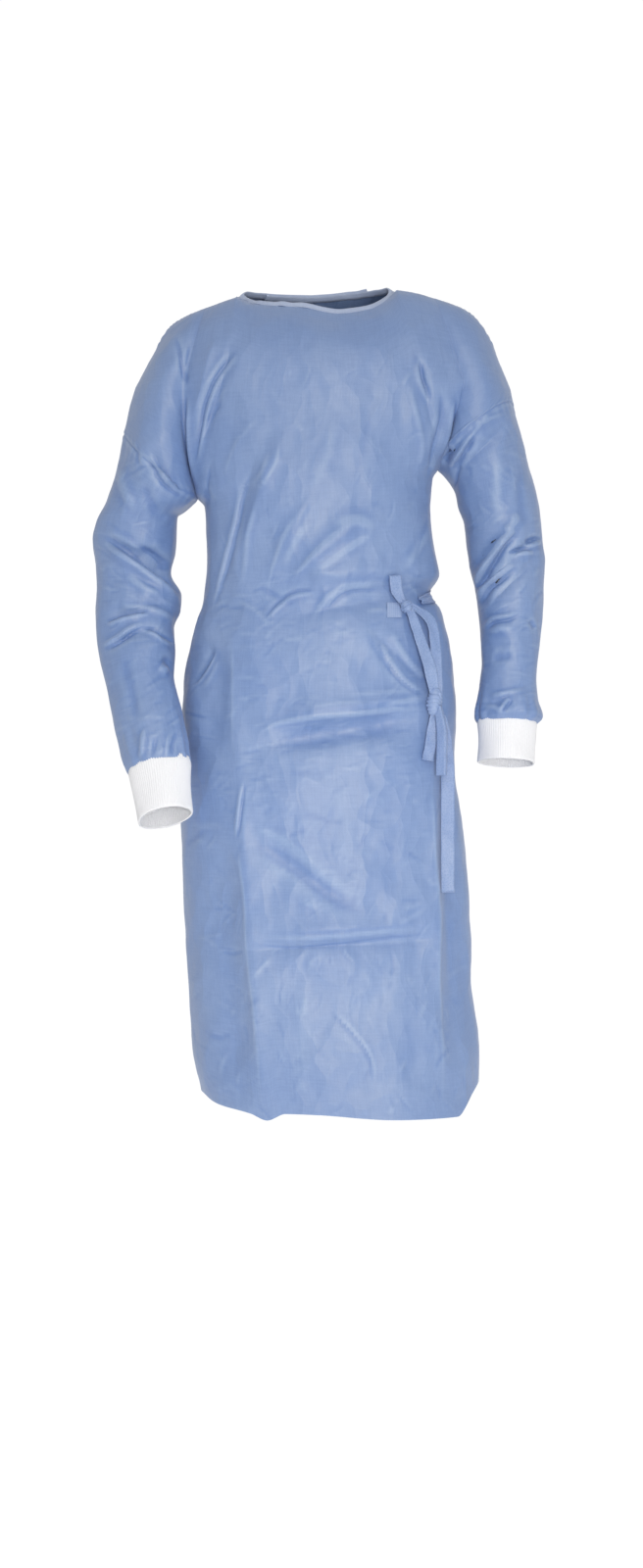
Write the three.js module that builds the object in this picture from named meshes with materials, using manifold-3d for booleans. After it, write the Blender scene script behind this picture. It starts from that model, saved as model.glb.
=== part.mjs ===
// A wrap-back surgical gown in its worn form, with nobody in it: a front, two back panels that
// overlap behind, two drop-shoulder sleeves with knitted cuffs, a bound neck, and a waist tie that
// comes round from the outer back panel's edge and is knotted on the wearer's left front.
// Millimetres. +Z is up, -Y is the front and +X is the wearer's left. The origin is midway between
// the two points where the neck meets the shoulder seams, where the wearer's shoulders carry it.
import * as THREE from "three";
import { mergeVertices } from "three/addons/utils/BufferGeometryUtils.js";
import Module from "manifold-3d";

const wasm = await Module();
wasm.setup();

// Walls and seams.
const CLOTH = 2; // nonwoven cloth, as a wall
const KNIT = 2.6; // cuff knit
const BINDING = 2.4; // folded neck binding
const RIBBON = 1.4; // tie ribbon
const SEAM_PULL = 0.17; // each piece stops this far short of its seam line
const ARMPIT = { pull: 1.8, reach: 54 }; // a sleeve stops shorter still beside the underarm
const CLEARANCE = 0.3; // between a knot and the ribbons that come out of it

// Heights that the form is built between.
const CHEST_Z = -130; // above this the cloth curves over onto the shoulders
const WAIST_Z = -411; // the tie's middle line at the wearer's left side
const TIE_WIDTH = 19;
const TIE_LIFT = 2.2; // from the middle of the cloth to the middle of the ribbon on it
const LAP = 1.6; // each back panel steps this far off the form where the two lap
const NECK_BAND = 8.5; // width of the binding that shows
const BINDING_STAND = 0.5; // how much the binding stands up from the slope of the cloth
const BINDING_CROWN = 0.5; // how far the middle of the binding swells
const BINDING_GAP = 0.6; // between the cloth's neck edge and the binding
const NECK_SLOPE = 55; // degrees through which the cloth curves over before it meets the neck
const ARM_BULGE = 4; // how far each upper arm's outer line swells at the chest line
const ARM_DEPTH = 86; // reach of the cap to the front and back at the chest line

// Grid sizes.
const TORSO_COLUMNS = { front: 28, back: 20 };
const SHOULDER_COLUMNS = 5; // of the torso's columns, those between each armhole fold and the neck
const CAP_COLUMNS = 8; // across the cap that drops over each upper arm, front or back
const ARMHOLE_ROWS = 4; // from the underarm to the chest line
const YOKE_ROWS = 6; // from the chest line to the shoulder seam
const CLOSEST_ROWS = 11; // at the tie
const WIDEST_ROWS = 34; // in the skirt

// Back panels, in columns of the back counted from the wearer's right.
const OVER_PANEL_END = 13;
const UNDER_PANEL_START = 7;
const LAP_EASE = 3; // columns over which a panel comes back onto the form beside the lap

// Where a sleeve's inner line meets the body's side.
const UNDERARM = { right: { x: -166, z: -273 }, left: { x: 160, z: -237 } };

// Sections of the body: the two sides as seen from the front, and how far the cloth stands to the
// front and to the back of the side line.
const BODY = [
  { z: -1112, right: -148, left: 198, front: 150, back: 160 },
  { z: -1066, right: -160, left: 213, front: 151, back: 160 },
  { z: -1017, right: -170, left: 215, front: 152, back: 158 },
  { z: -938, right: -176, left: 206, front: 151, back: 154 },
  { z: -842, right: -182, left: 202, front: 149, back: 150 },
  { z: -714, right: -187, left: 193, front: 145, back: 146 },
  { z: -650, right: -188, left: 184, front: 143, back: 145 },
  { z: -540, right: -187, left: 181, front: 137, back: 143 },
  { z: -475, right: -174, left: 176, front: 129, back: 130 },
  { z: -443, right: -164, left: 168, front: 122, back: 119 },
  { z: -427, right: -157, left: 161, front: 118, back: 112 },
  { z: -408, right: -154, left: 147, front: 116, back: 106 },
  { z: -381, right: -153, left: 161, front: 121, back: 117 },
  { z: -350, right: -153, left: 156, front: 125, back: 124 },
  { z: -300, right: -153, left: 152, front: 128, back: 128 },
  { z: -287, right: -154, left: 151, front: 128, back: 129 },
  { z: -273, right: -166, left: 151, front: 128, back: 130 },
  { z: -252, right: -172, left: 152, front: 128, back: 131 },
  { z: -237, right: -174, left: 160, front: 128, back: 131 },
  { z: CHEST_Z, right: -181, left: 192, front: 122, back: 126 },
];
const ROUNDNESS = 0.78; // power of the section's cosine: 1 is an ellipse, less is squarer

// The hem, from the wearer's right side (turn -1) to the left side (turn 1).
const HEM = {
  front: [
    { turn: -1, z: -1078 },
    { turn: -0.88, z: -1089 },
    { turn: -0.63, z: -1099 },
    { turn: -0.52, z: -1107 },
    { turn: -0.39, z: -1098 },
    { turn: -0.15, z: -1099 },
    { turn: 0.38, z: -1106 },
    { turn: 0.85, z: -1107 },
    { turn: 1, z: -1066 },
  ],
  back: [
    { turn: -1, z: -1078 },
    { turn: -0.5, z: -1090 },
    { turn: 0, z: -1084 },
    { turn: 0.5, z: -1092 },
    { turn: 1, z: -1066 },
  ],
};

// The fold where each sleeve meets the chest: its place, and how far it stands off the side line.
const ARMHOLE_FOLD = {
  right: [
    { z: -273, x: -166, front: 0, back: 0 },
    { z: -226, x: -177, front: 48, back: 50 },
    { z: -173, x: -182, front: 70, back: 74 },
    { z: CHEST_Z, x: -181, front: 80, back: 86 },
  ],
  left: [
    { z: -237, x: 160, front: 0, back: 0 },
    { z: -205, x: 172, front: 44, back: 46 },
    { z: -165, x: 184, front: 70, back: 74 },
    { z: CHEST_Z, x: 192, front: 82, back: 86 },
  ],
};

// The shoulder seams as seen from the front, from the arm's outer line up to the neck.
const SHOULDER = {
  right: [
    { x: -217, z: -66 },
    { x: -202, z: -45 },
    { x: -180, z: -31 },
    { x: -137, z: -12 },
    { x: -112, z: -4 },
  ],
  left: [
    { x: 104, z: 4 },
    { x: 138, z: -1 },
    { x: 173, z: -12 },
    { x: 206, z: -29 },
    { x: 231, z: -66 },
  ],
};

// The cloth's neck edge, from the right shoulder seam (share 0) to the left one (share 1).
const NECK = {
  front: [
    { share: 0, x: -112, y: 2, z: -4 },
    { share: 0.12, x: -86, y: -34, z: -19 },
    { share: 0.28, x: -50, y: -54, z: -25 },
    { share: 0.42, x: -20, y: -61, z: -28 },
    { share: 0.6, x: 24, y: -63, z: -36 },
    { share: 0.78, x: 65, y: -52, z: -29 },
    { share: 0.9, x: 88, y: -32, z: -15 },
    { share: 1, x: 104, y: 2, z: 4 },
  ],
  back: [
    { share: 0, x: -112, y: 2, z: -4 },
    { share: 0.14, x: -92, y: 38, z: 0 },
    { share: 0.32, x: -48, y: 64, z: 0 },
    { share: 0.5, x: -4, y: 72, z: 1 },
    { share: 0.68, x: 42, y: 64, z: 4 },
    { share: 0.86, x: 84, y: 38, z: 6 },
    { share: 1, x: 104, y: 2, z: 4 },
  ],
};

// Rings of the sleeves, from the armhole seam to the cuff: the outer and inner lines as seen from
// the front, the ring's middle in depth, its reach to the front and back, and how far the forearm
// leans forward there, in degrees. The last row is shared with the cuff.
const SLEEVE = {
  right: [
    { outerX: -265, outerZ: -190, innerX: -166, innerZ: -273, y: 0, front: 82, back: 82, lean: 0 },
    { outerX: -277, outerZ: -236, innerX: -180, innerZ: -289, y: 2, front: 74, back: 76, lean: 0 },
    { outerX: -289, outerZ: -281, innerX: -193, innerZ: -302, y: 5, front: 67, back: 71, lean: 0 },
    { outerX: -302, outerZ: -309, innerX: -195, innerZ: -323, y: 8, front: 62, back: 67, lean: 0 },
    { outerX: -308, outerZ: -338, innerX: -196, innerZ: -350, y: 10, front: 60, back: 63, lean: 0 },
    { outerX: -306, outerZ: -374, innerX: -201, innerZ: -379, y: 10, front: 57, back: 58, lean: 0 },
    { outerX: -303, outerZ: -404, innerX: -188, innerZ: -409, y: 6, front: 58, back: 57, lean: 3 },
    { outerX: -303, outerZ: -430, innerX: -189, innerZ: -430, y: 0, front: 56, back: 54, lean: 7 },
    { outerX: -299, outerZ: -460, innerX: -197, innerZ: -454, y: -12, front: 52, back: 50, lean: 12 },
    { outerX: -294, outerZ: -495, innerX: -195, innerZ: -486, y: -25, front: 50, back: 48, lean: 16 },
    { outerX: -288, outerZ: -530, innerX: -193, innerZ: -519, y: -40, front: 47, back: 46, lean: 20 },
    { outerX: -281, outerZ: -565, innerX: -188, innerZ: -552, y: -62, front: 45, back: 44, lean: 22 },
    { outerX: -271, outerZ: -600, innerX: -180, innerZ: -586, y: -82, front: 43, back: 42, lean: 24 },
    { outerX: -261, outerZ: -628, innerX: -173, innerZ: -616, y: -96, front: 42, back: 41, lean: 25 },
    { outerX: -251, outerZ: -652, innerX: -170, innerZ: -640, y: -107, front: 36, back: 36, lean: 25 },
  ],
  left: [
    { outerX: 266, outerZ: -156, innerX: 160, innerZ: -237, y: 0, front: 82, back: 82, lean: 0 },
    { outerX: 276, outerZ: -192, innerX: 173, innerZ: -251, y: 2, front: 75, back: 77, lean: 0 },
    { outerX: 284, outerZ: -232, innerX: 184, innerZ: -269, y: 4, front: 70, back: 72, lean: 0 },
    { outerX: 294, outerZ: -270, innerX: 188, innerZ: -290, y: 7, front: 64, back: 68, lean: 0 },
    { outerX: 300, outerZ: -303, innerX: 195, innerZ: -313, y: 9, front: 61, back: 64, lean: 0 },
    { outerX: 303, outerZ: -337, innerX: 197, innerZ: -340, y: 10, front: 58, back: 60, lean: 0 },
    { outerX: 307, outerZ: -370, innerX: 203, innerZ: -368, y: 10, front: 57, back: 57, lean: 0 },
    { outerX: 306, outerZ: -402, innerX: 213, innerZ: -398, y: 8, front: 54, back: 53, lean: 2 },
    { outerX: 304, outerZ: -434, innerX: 217, innerZ: -430, y: 3, front: 51, back: 49, lean: 4 },
    { outerX: 301, outerZ: -466, innerX: 218, innerZ: -461, y: -4, front: 48, back: 46, lean: 7 },
    { outerX: 296, outerZ: -499, innerX: 218, innerZ: -495, y: -12, front: 45, back: 44, lean: 9 },
    { outerX: 294, outerZ: -530, innerX: 216, innerZ: -526, y: -19, front: 43, back: 42, lean: 10 },
    { outerX: 294, outerZ: -553, innerX: 214, innerZ: -550, y: -25, front: 43, back: 41, lean: 10 },
    { outerX: 297, outerZ: -572, innerX: 212, innerZ: -569, y: -29, front: 42, back: 40, lean: 10 },
    { outerX: 291, outerZ: -584, innerX: 213, innerZ: -583, y: -31, front: 36, back: 36, lean: 10 },
  ],
};
const SLEEVE_ROWS = 22; // rings from the seam to the cuff

// How far the middle of each armhole seam bows down (-) or up (+) from a straight line.
const SEAM_BOW = { right: -16, left: 20 };
const BOW_RINGS = 5; // rings of the sleeve over which the bow runs out

// The cuffs' lower ends.
const CUFF = {
  right: { outerX: -238, outerZ: -716, innerX: -168, innerZ: -702, y: -135, front: 32, back: 32, lean: 25 },
  left: { outerX: 289, outerZ: -638, innerX: 214, innerZ: -635, y: -42, front: 34, back: 34, lean: 10 },
};
const CUFF_ROWS = 3;

// The largest folds and creases of the front, as lines seen from the front. A rise is a ridge if
// positive and a trough if negative; it is highest at the middle of the line.
const FRONT_FOLDS = [
  { name: "right packing crease", x1: -112, z1: -510, x2: -68, z2: -1150, width: 30, rise: 9 },
  { name: "left packing crease", x1: 146, z1: -610, x2: 160, z2: -1010, width: 16, rise: 6 },
  { name: "hollow behind that crease", x1: 172, z1: -620, x2: 180, z2: -960, width: 14, rise: -7 },
  { name: "ridge over the hips", x1: -60, z1: -578, x2: 146, z2: -545, width: 17, rise: 6 },
  { name: "trough over the hips", x1: -104, z1: -622, x2: 146, z2: -573, width: 17, rise: -8 },
  { name: "low packing crease", x1: -130, z1: -886, x2: 182, z2: -868, width: 11, rise: -6 },
  { name: "ridge over the low crease", x1: -70, z1: -858, x2: 170, z2: -848, width: 14, rise: 4 },
  { name: "blouse over the waist", x1: -30, z1: -392, x2: 118, z2: -378, width: 24, rise: 7 },
  { name: "under the blouse", x1: -52, z1: -446, x2: 112, z2: -415, width: 16, rise: -6 },
  { name: "drag from the knot", x1: 60, z1: -455, x2: 150, z2: -536, width: 9, rise: -5 },
  { name: "long chest ridge", x1: -46, z1: -196, x2: -112, z2: -372, width: 14, rise: 6 },
  { name: "beside the chest ridge", x1: -78, z1: -212, x2: -140, z2: -420, width: 12, rise: -5 },
  { name: "short chest ridge", x1: 72, z1: -304, x2: -44, z2: -396, width: 12, rise: 6 },
  { name: "middle chest ridge", x1: -2, z1: -268, x2: -66, z2: -392, width: 12, rise: 4 },
  { name: "right armhole drag", x1: -112, z1: -66, x2: -162, z2: -226, width: 12, rise: -8 },
  { name: "right armhole ridge", x1: -134, z1: -60, x2: -172, z2: -190, width: 9, rise: 4 },
  { name: "left armhole drag", x1: 128, z1: -92, x2: 158, z2: -214, width: 12, rise: -7 },
  { name: "right hip drag", x1: -140, z1: -474, x2: -178, z2: -534, width: 10, rise: -5 },
  { name: "right elbow fold", x1: -306, z1: -322, x2: -196, z2: -384, width: 12, rise: -9 },
  { name: "right elbow ridge", x1: -300, z1: -346, x2: -204, z2: -402, width: 11, rise: 5 },
  { name: "right forearm fold", x1: -296, z1: -440, x2: -196, z2: -418, width: 9, rise: -5 },
  { name: "right lower forearm fold", x1: -292, z1: -476, x2: -200, z2: -452, width: 9, rise: -5 },
  { name: "right seam drag", x1: -232, z1: -214, x2: -176, z2: -284, width: 11, rise: -8 },
  { name: "left elbow fold", x1: 216, z1: -404, x2: 302, z2: -322, width: 11, rise: -8 },
  { name: "left elbow ridge", x1: 208, z1: -366, x2: 300, z2: -296, width: 11, rise: 4 },
  { name: "left forearm fold", x1: 222, z1: -428, x2: 304, z2: -352, width: 8, rise: -6 },
  { name: "left seam drag", x1: 180, z1: -250, x2: 262, z2: -178, width: 11, rise: -8 },
  { name: "left cuff drag", x1: 222, z1: -562, x2: 290, z2: -524, width: 8, rise: -4 },
];
const BACK_FOLDS = [
  { name: "blouse over the tie", x1: -60, z1: -376, x2: 140, z2: -376, width: 22, rise: 7 },
  { name: "right blade drag", x1: -96, z1: -110, x2: -150, z2: -250, width: 13, rise: -7 },
  { name: "left blade drag", x1: 104, z1: -110, x2: 150, z2: -226, width: 13, rise: -7 },
  { name: "pull to the tie, high", x1: -120, z1: -250, x2: 60, z2: -372, width: 15, rise: 6 },
  { name: "pull to the tie, low", x1: -130, z1: -540, x2: 40, z2: -428, width: 15, rise: -6 },
  { name: "right skirt flute", x1: -90, z1: -470, x2: -104, z2: -1120, width: 30, rise: 9 },
  { name: "middle skirt flute", x1: -14, z1: -480, x2: -22, z2: -1120, width: 24, rise: -8 },
  { name: "left skirt flute", x1: 56, z1: -470, x2: 66, z2: -1120, width: 26, rise: 8 },
  { name: "right elbow back fold", x1: -300, z1: -352, x2: -200, z2: -396, width: 12, rise: -6 },
  { name: "left elbow back fold", x1: 208, z1: -392, x2: 300, z2: -350, width: 12, rise: -6 },
];
const FOLD_END = 0.3; // share of a fold's length over which each end runs out

// Gathers where each sleeve is drawn into its cuff, from a share of its length.
const CUFF_GATHERS = { depth: 2.2, from: 0.8, to: 0.93 };

// The tie round the wearer's left side: way runs from the outer back panel's edge, 0, to the knot,
// 1. off is how far it leaves the cloth to reach the knot.
const BELT = [
  { way: 0, z: -401, width: TIE_WIDTH, off: 0 },
  { way: 0.4, z: -404, width: TIE_WIDTH, off: 0 },
  { way: 0.72, z: -411, width: TIE_WIDTH - 2, off: 0 },
  { way: 0.88, z: -418, width: 12, off: 2 },
  { way: 1, z: -425, width: 8, off: 7 },
];
const BELT_SIDE = 0.7; // where it passes the side
const BELT_END = 0.8; // where it ends, as a share across the front
const BELT_SEWN_ON = 0.6; // how far onto the back panel it is sewn, in columns
const BELT_STEPS = 20;

// The knots, and the welded end of the front tie.
const KNOTS = {
  upper: { x: 118, z: -426, y: -98, width: 17, height: 16, depth: 13, tilt: -20, ridges: 2 },
  lower: { x: 155, z: -555, y: -99.5, width: 19, height: 38, depth: 14, tilt: 6, ridges: 4 },
};
const KNOT_SIDES = 14;
const KNOT_GROOVE = 0.12; // depth of the grooves between a knot's turns, as a share of its size
const TIE_PATCH = { x: 100, z: -431, width: 19, height: 20, lift: 2.2 };

// The ribbons that hang from the knots.
const RIBBONS = {
  tie_tab: [
    { x: 102, y: -106, z: -385, width: 18, turn: 32 },
    { x: 106, y: -101, z: -404, width: 17, turn: 30 },
    { x: 117, y: -98, z: -425, width: 9, turn: 20 },
  ],
  tie_fall_front: [
    { x: 119, y: -100, z: -427, width: 10, turn: 25 },
    { x: 127, y: -102, z: -440, width: 15, turn: 25 },
    { x: 139, y: -105, z: -474, width: 19, turn: 25 },
    { x: 151, y: -106, z: -516, width: 19, turn: 25 },
    { x: 156, y: -102, z: -548, width: 15, turn: 20 },
  ],
  tie_fall_back: [
    { x: 120, y: -95, z: -426, width: 8, turn: 30 },
    { x: 134, y: -91, z: -434, width: 12, turn: 35 },
    { x: 148, y: -93, z: -452, width: 17, turn: 35 },
    { x: 153, y: -96, z: -490, width: 17, turn: 30 },
    { x: 156, y: -97, z: -545, width: 14, turn: 20 },
  ],
  tie_tail_left: [
    { x: 154, y: -99, z: -562, width: 10, turn: 10 },
    { x: 152, y: -101, z: -598, width: 16, turn: 15 },
    { x: 147, y: -106, z: -634, width: 16, turn: 22 },
  ],
  tie_loop: [
    { x: 156, y: -103, z: -562, width: 9, turn: 10 },
    { x: 161, y: -107, z: -600, width: 13, turn: 15 },
    { x: 160, y: -108, z: -654, width: 13, turn: 20 },
  ],
  tie_tail_long: [
    { x: 158, y: -95, z: -562, width: 8, turn: 0 },
    { x: 169, y: -97, z: -600, width: 14, turn: 0 },
    { x: 173, y: -97, z: -660, width: 18, turn: 0 },
    { x: 174, y: -97, z: -735, width: 18, turn: 5 },
    { x: 174, y: -100, z: -809, width: 18, turn: 15 },
  ],
};
const RIBBON_STEPS = 3; // between two rows of a ribbon's table

const RIGHT_ANGLE = Math.PI / 2;
const DEGREE = Math.PI / 180;
const mix = THREE.MathUtils.lerp;
const clamp = THREE.MathUtils.clamp;
const ease = (from, to, at) => THREE.MathUtils.smoothstep(at, from, to);

// One named column of a table, on a smooth curve through its rows that never overshoots them.
function read(table, by, at, name) {
  const rows = table[0][by] <= table[table.length - 1][by] ? table : [...table].reverse();
  const last = rows.length - 1;
  const spot = clamp(at, rows[0][by], rows[last][by]);
  let i = 0;
  while (i < last - 1 && spot > rows[i + 1][by]) i++;
  const rise = (j) => (rows[j + 1][name] - rows[j][name]) / (rows[j + 1][by] - rows[j][by]);
  const slope = (j) => {
    if (j === 0) return rise(0);
    if (j === last) return rise(last - 1);
    const [before, after] = [rise(j - 1), rise(j)];
    return before * after <= 0 ? 0 : (2 * before * after) / (before + after);
  };
  const span = rows[i + 1][by] - rows[i][by];
  const t = (spot - rows[i][by]) / span;
  const [a, b] = [rows[i][name], rows[i + 1][name]];
  const [ma, mb] = [slope(i) * span, slope(i + 1) * span];
  return (
    a * (1 + 2 * t) * (1 - t) ** 2 + ma * t * (1 - t) ** 2 + b * t * t * (3 - 2 * t) - mb * t * t * (1 - t)
  );
}

// A point across the body between its two ends, which are the sides or the armhole folds.
// face is "front" or "back", and share runs from the wearer's right, 0, to the left, 1.
function acrossBody(face, share, right, left, drop = 0) {
  const away = face === "front" ? -1 : 1;
  const turnOf = (end) => {
    const reach = read(BODY, "z", end.z, face);
    return Math.acos(clamp(end[face] / reach, 0, 1) ** (1 / ROUNDNESS));
  };
  const [turnRight, turnLeft] = [-turnOf(right), turnOf(left)];
  const turn = mix(turnRight, turnLeft, share);
  const half = (left.x - right.x) / (Math.sin(turnLeft) - Math.sin(turnRight));
  const x = right.x + half * (Math.sin(turn) - Math.sin(turnRight));
  const z = mix(right.z, left.z, (x - right.x) / (left.x - right.x)) + drop;
  const reach = read(BODY, "z", z, face);
  return new THREE.Vector3(x, away * reach * Math.max(Math.cos(turn), 0) ** ROUNDNESS, z);
}

// The ends of a level line across the body below the underarms.
function sides(rightZ, leftZ) {
  return [
    { x: read(BODY, "z", rightZ, "right"), z: rightZ, front: 0, back: 0 },
    { x: read(BODY, "z", leftZ, "left"), z: leftZ, front: 0, back: 0 },
  ];
}

// A point on a sleeve's ring. turn 0 is the outer line, 90 degrees the front, 180 the inner line.
// grow moves it straight out from the ring's middle.
function onRing(ring, turn, grow = 0) {
  const width = Math.abs(ring.innerX - ring.outerX);
  const across = 0.5 - Math.cos(turn) * (0.5 + grow / width);
  const reach = Math.sin(turn) * ((turn <= Math.PI ? ring.front : ring.back) + grow);
  const lean = ring.lean * DEGREE;
  return new THREE.Vector3(
    mix(ring.outerX, ring.innerX, across),
    ring.y - reach * Math.cos(lean),
    mix(ring.outerZ, ring.innerZ, across) + reach * Math.sin(lean),
  );
}

// A sleeve's ring at a share of the way from its seam to its cuff.
function ringAt(side, share) {
  const rows = SLEEVE[side].map((row, i) => ({ ...row, at: i / (SLEEVE[side].length - 1) }));
  const ring = {};
  for (const name of Object.keys(CUFF[side])) ring[name] = read(rows, "at", share, name);
  return ring;
}

// How far the folds move a point along its normal.
function foldAt(folds, x, z) {
  let sum = 0;
  for (const fold of folds) {
    const [dx, dz] = [fold.x2 - fold.x1, fold.z2 - fold.z1];
    const length = Math.hypot(dx, dz);
    const along = ((x - fold.x1) * dx + (z - fold.z1) * dz) / length ** 2;
    const off = ((x - fold.x1) * dz - (z - fold.z1) * dx) / length;
    const ends = ease(0, FOLD_END, along) * ease(0, FOLD_END, 1 - along);
    sum += fold.rise * ends * Math.exp(-((off / fold.width) ** 2));
  }
  return sum;
}

// The garment's surface: shared points, and four-sided faces that know their piece and columns.
const points = [];
const faces = [];
const pointAt = (p) => points.push(p) - 1;

// Joins two rows of points with faces, the second row lying above the first. outward is 1 where
// the rows run to the right as seen from outside, and -1 where they run to the left.
function join(piece, lower, upper, outward, firstColumn = 0) {
  for (let i = 0; i + 1 < lower.length; i++) {
    const corners = [lower[i], lower[i + 1], upper[i + 1], upper[i]];
    const columns = [i, i + 1, i + 1, i].map((column) => column + firstColumn);
    if (outward < 0) corners.reverse();
    faces.push({ piece, corners, columns });
  }
}

// Points on the seams, which the pieces on both sides of a seam share.
const seamPoints = new Map();
function shared(key, point) {
  if (!seamPoints.has(key)) seamPoints.set(key, pointAt(point));
  return seamPoints.get(key);
}

// Heights of the body's rows, closer together at the tie.
function bodyHeights() {
  const heights = [];
  const spread = 190;
  for (let z = WAIST_Z; z > HEM_SIDE.right + WIDEST_ROWS / 2; ) {
    heights.unshift(z);
    z -= mix(CLOSEST_ROWS, WIDEST_ROWS, clamp((WAIST_Z - z) / spread, 0, 1));
  }
  for (let z = WAIST_Z + CLOSEST_ROWS; z < UNDERARM.right.z - CLOSEST_ROWS; ) {
    heights.push(z);
    z += mix(CLOSEST_ROWS, WIDEST_ROWS / 2, clamp((z - WAIST_Z) / (spread / 2), 0, 1));
  }
  return heights;
}

const HEM_SIDE = { right: HEM.front[0].z, left: HEM.front.at(-1).z };
const HEIGHTS = bodyHeights();

// A row of the body between the hem, row 0, and the underarms, from the wearer's right.
function lowerRow(face, row) {
  const middle = row === 0 ? HEM_SIDE.right : HEIGHTS[row - 1];
  const tilt = ease(WAIST_Z, UNDERARM.right.z, middle) * (UNDERARM.left.z - UNDERARM.right.z);
  const [right, left] = sides(middle, row === 0 ? HEM_SIDE.left : middle + tilt);
  const hemFade = 1 - ease(HEM_SIDE.right, HEM_SIDE.right + 230, middle);
  const columns = TORSO_COLUMNS[face];
  const cells = [];
  for (let i = 0; i <= columns; i++) {
    const turn = Math.sin(mix(-RIGHT_ANGLE, RIGHT_ANGLE, i / columns));
    const level = mix(HEM_SIDE.right, HEM_SIDE.left, (1 + turn) / 2);
    const drop = (read(HEM[face], "turn", turn, "z") - level) * hemFade;
    const point = acrossBody(face, i / columns, right, left, drop);
    const end = i === 0 ? "right" : i === columns ? "left" : null;
    cells.push(end ? shared(`${end} side ${row}`, point) : pointAt(point));
  }
  return cells;
}

// A point on the cap that drops over the upper arm, from the arm's outer line, share 0, to the
// armhole fold, share 1.
function onCap(face, share, outer, fold, reach) {
  const away = face === "front" ? -1 : 1;
  const end = Math.PI - Math.asin(clamp(fold[face] / reach, 0, 1));
  const turn = end * share;
  const half = (fold.x - outer.x) / (1 - Math.cos(end));
  const x = outer.x + half * (1 - Math.cos(turn));
  const z = mix(outer.z, fold.z, (x - outer.x) / (fold.x - outer.x));
  return new THREE.Vector3(x, away * reach * Math.sin(turn), z);
}

// The arm's outer line and the armhole fold at a share of the way from the underarm to the chest.
function armholeEnds(side, share) {
  const seam = SLEEVE[side][0];
  const top = side === "right" ? SHOULDER.right[0] : SHOULDER.left.at(-1);
  const foldZ = mix(UNDERARM[side].z, CHEST_Z, share);
  const fold = { z: foldZ };
  for (const name of ["x", "front", "back"]) fold[name] = read(ARMHOLE_FOLD[side], "z", foldZ, name);
  const level = (CHEST_Z - seam.outerZ) / (top.z - seam.outerZ);
  const outer = {
    x: mix(seam.outerX, top.x, level * share) + Math.sign(seam.outerX) * ARM_BULGE * share,
    z: mix(seam.outerZ, CHEST_Z, share),
  };
  return { outer, fold, reach: mix(seam.front, ARM_DEPTH, share) };
}

// A row from one arm's outer line to the other's, from the underarms, row 0, to the chest line.
function armholeRow(face, row) {
  const share = row / ARMHOLE_ROWS;
  const ends = { right: armholeEnds("right", share), left: armholeEnds("left", share) };
  const cap = (side, i) => {
    const { outer, fold, reach } = ends[side];
    const point = onCap(face, i / CAP_COLUMNS, outer, fold, reach);
    point.z += SEAM_BOW[side] * Math.sin((Math.PI * i) / CAP_COLUMNS) * (1 - share);
    return i === 0 ? shared(`${side} arm ${row}`, point) : pointAt(point);
  };
  const columns = TORSO_COLUMNS[face];
  const cells = [];
  for (let i = 0; i < CAP_COLUMNS; i++) cells.push(cap("right", i));
  for (let i = 0; i <= columns; i++) {
    const point = acrossBody(face, i / columns, ends.right.fold, ends.left.fold);
    const end = row > 0 ? null : i === 0 ? "right" : i === columns ? "left" : null;
    cells.push(end ? shared(`${end} underarm`, point) : pointAt(point));
  }
  for (let i = CAP_COLUMNS - 1; i >= 0; i--) cells.push(cap("left", i));
  return cells;
}

const RIDGE = CAP_COLUMNS + SHOULDER_COLUMNS; // columns of the yoke that end at a shoulder seam

// The top edge that column i of a yoke ends at: a shoulder seam, or the neck.
function topEdge(face, i, last) {
  if (i > RIDGE && i < last - RIDGE) {
    const share = (i - RIDGE) / (last - 2 * RIDGE);
    const at = (name) => read(NECK[face], "share", share, name);
    return { point: new THREE.Vector3(at("x"), at("y"), at("z")), neck: Math.sin(Math.PI * share) };
  }
  const side = i <= RIDGE ? "right" : "left";
  const line = SHOULDER[side];
  const [outer, inner] = side === "right" ? [line[0].x, line.at(-1).x] : [line.at(-1).x, line[0].x];
  const step = (side === "right" ? i : last - i) / RIDGE;
  const x = mix(outer, inner, step);
  return { point: new THREE.Vector3(x, 2 * step, read(line, "x", x, "z")), neck: 0 };
}

// A row of the yoke, which curves from the chest line over to the shoulder seams and the neck.
function yokeRow(face, row, chest) {
  const last = chest.length - 1;
  return chest.map((index, i) => {
    const from = points[index];
    const { point: to, neck } = topEdge(face, i, last);
    const top = mix(RIGHT_ANGLE, NECK_SLOPE * DEGREE, neck);
    const turn = (top * row) / YOKE_ROWS;
    const up = Math.sin(turn) / Math.sin(top);
    const over = (1 - Math.cos(turn)) / (1 - Math.cos(top));
    const point = new THREE.Vector3(mix(from.x, to.x, up), mix(from.y, to.y, over), mix(from.z, to.z, up));
    const side = i <= last / 2 ? "right" : "left";
    const step = side === "right" ? i : last - i;
    const seam = step === 0 || (row === YOKE_ROWS && step <= RIDGE);
    return seam ? shared(`${side} yoke ${row} ${step}`, point) : pointAt(point);
  });
}

// The body's front or back, from the hem up.
function body(face) {
  const outward = face === "front" ? 1 : -1;
  const lower = [];
  for (let row = 0; row <= HEIGHTS.length; row++) lower.push(lowerRow(face, row));
  const upper = [];
  for (let row = 0; row <= ARMHOLE_ROWS; row++) upper.push(armholeRow(face, row));
  lower.push(upper[0].slice(CAP_COLUMNS, CAP_COLUMNS + TORSO_COLUMNS[face] + 1));
  const chest = upper.at(-1);
  for (let row = 1; row <= YOKE_ROWS; row++) upper.push(yokeRow(face, row, chest));
  for (let row = 0; row + 1 < lower.length; row++) join(face, lower[row], lower[row + 1], outward);
  for (let row = 0; row + 1 < upper.length; row++) {
    join(face, upper[row], upper[row + 1], outward, -CAP_COLUMNS);
  }
  return { lower, upper };
}

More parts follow.
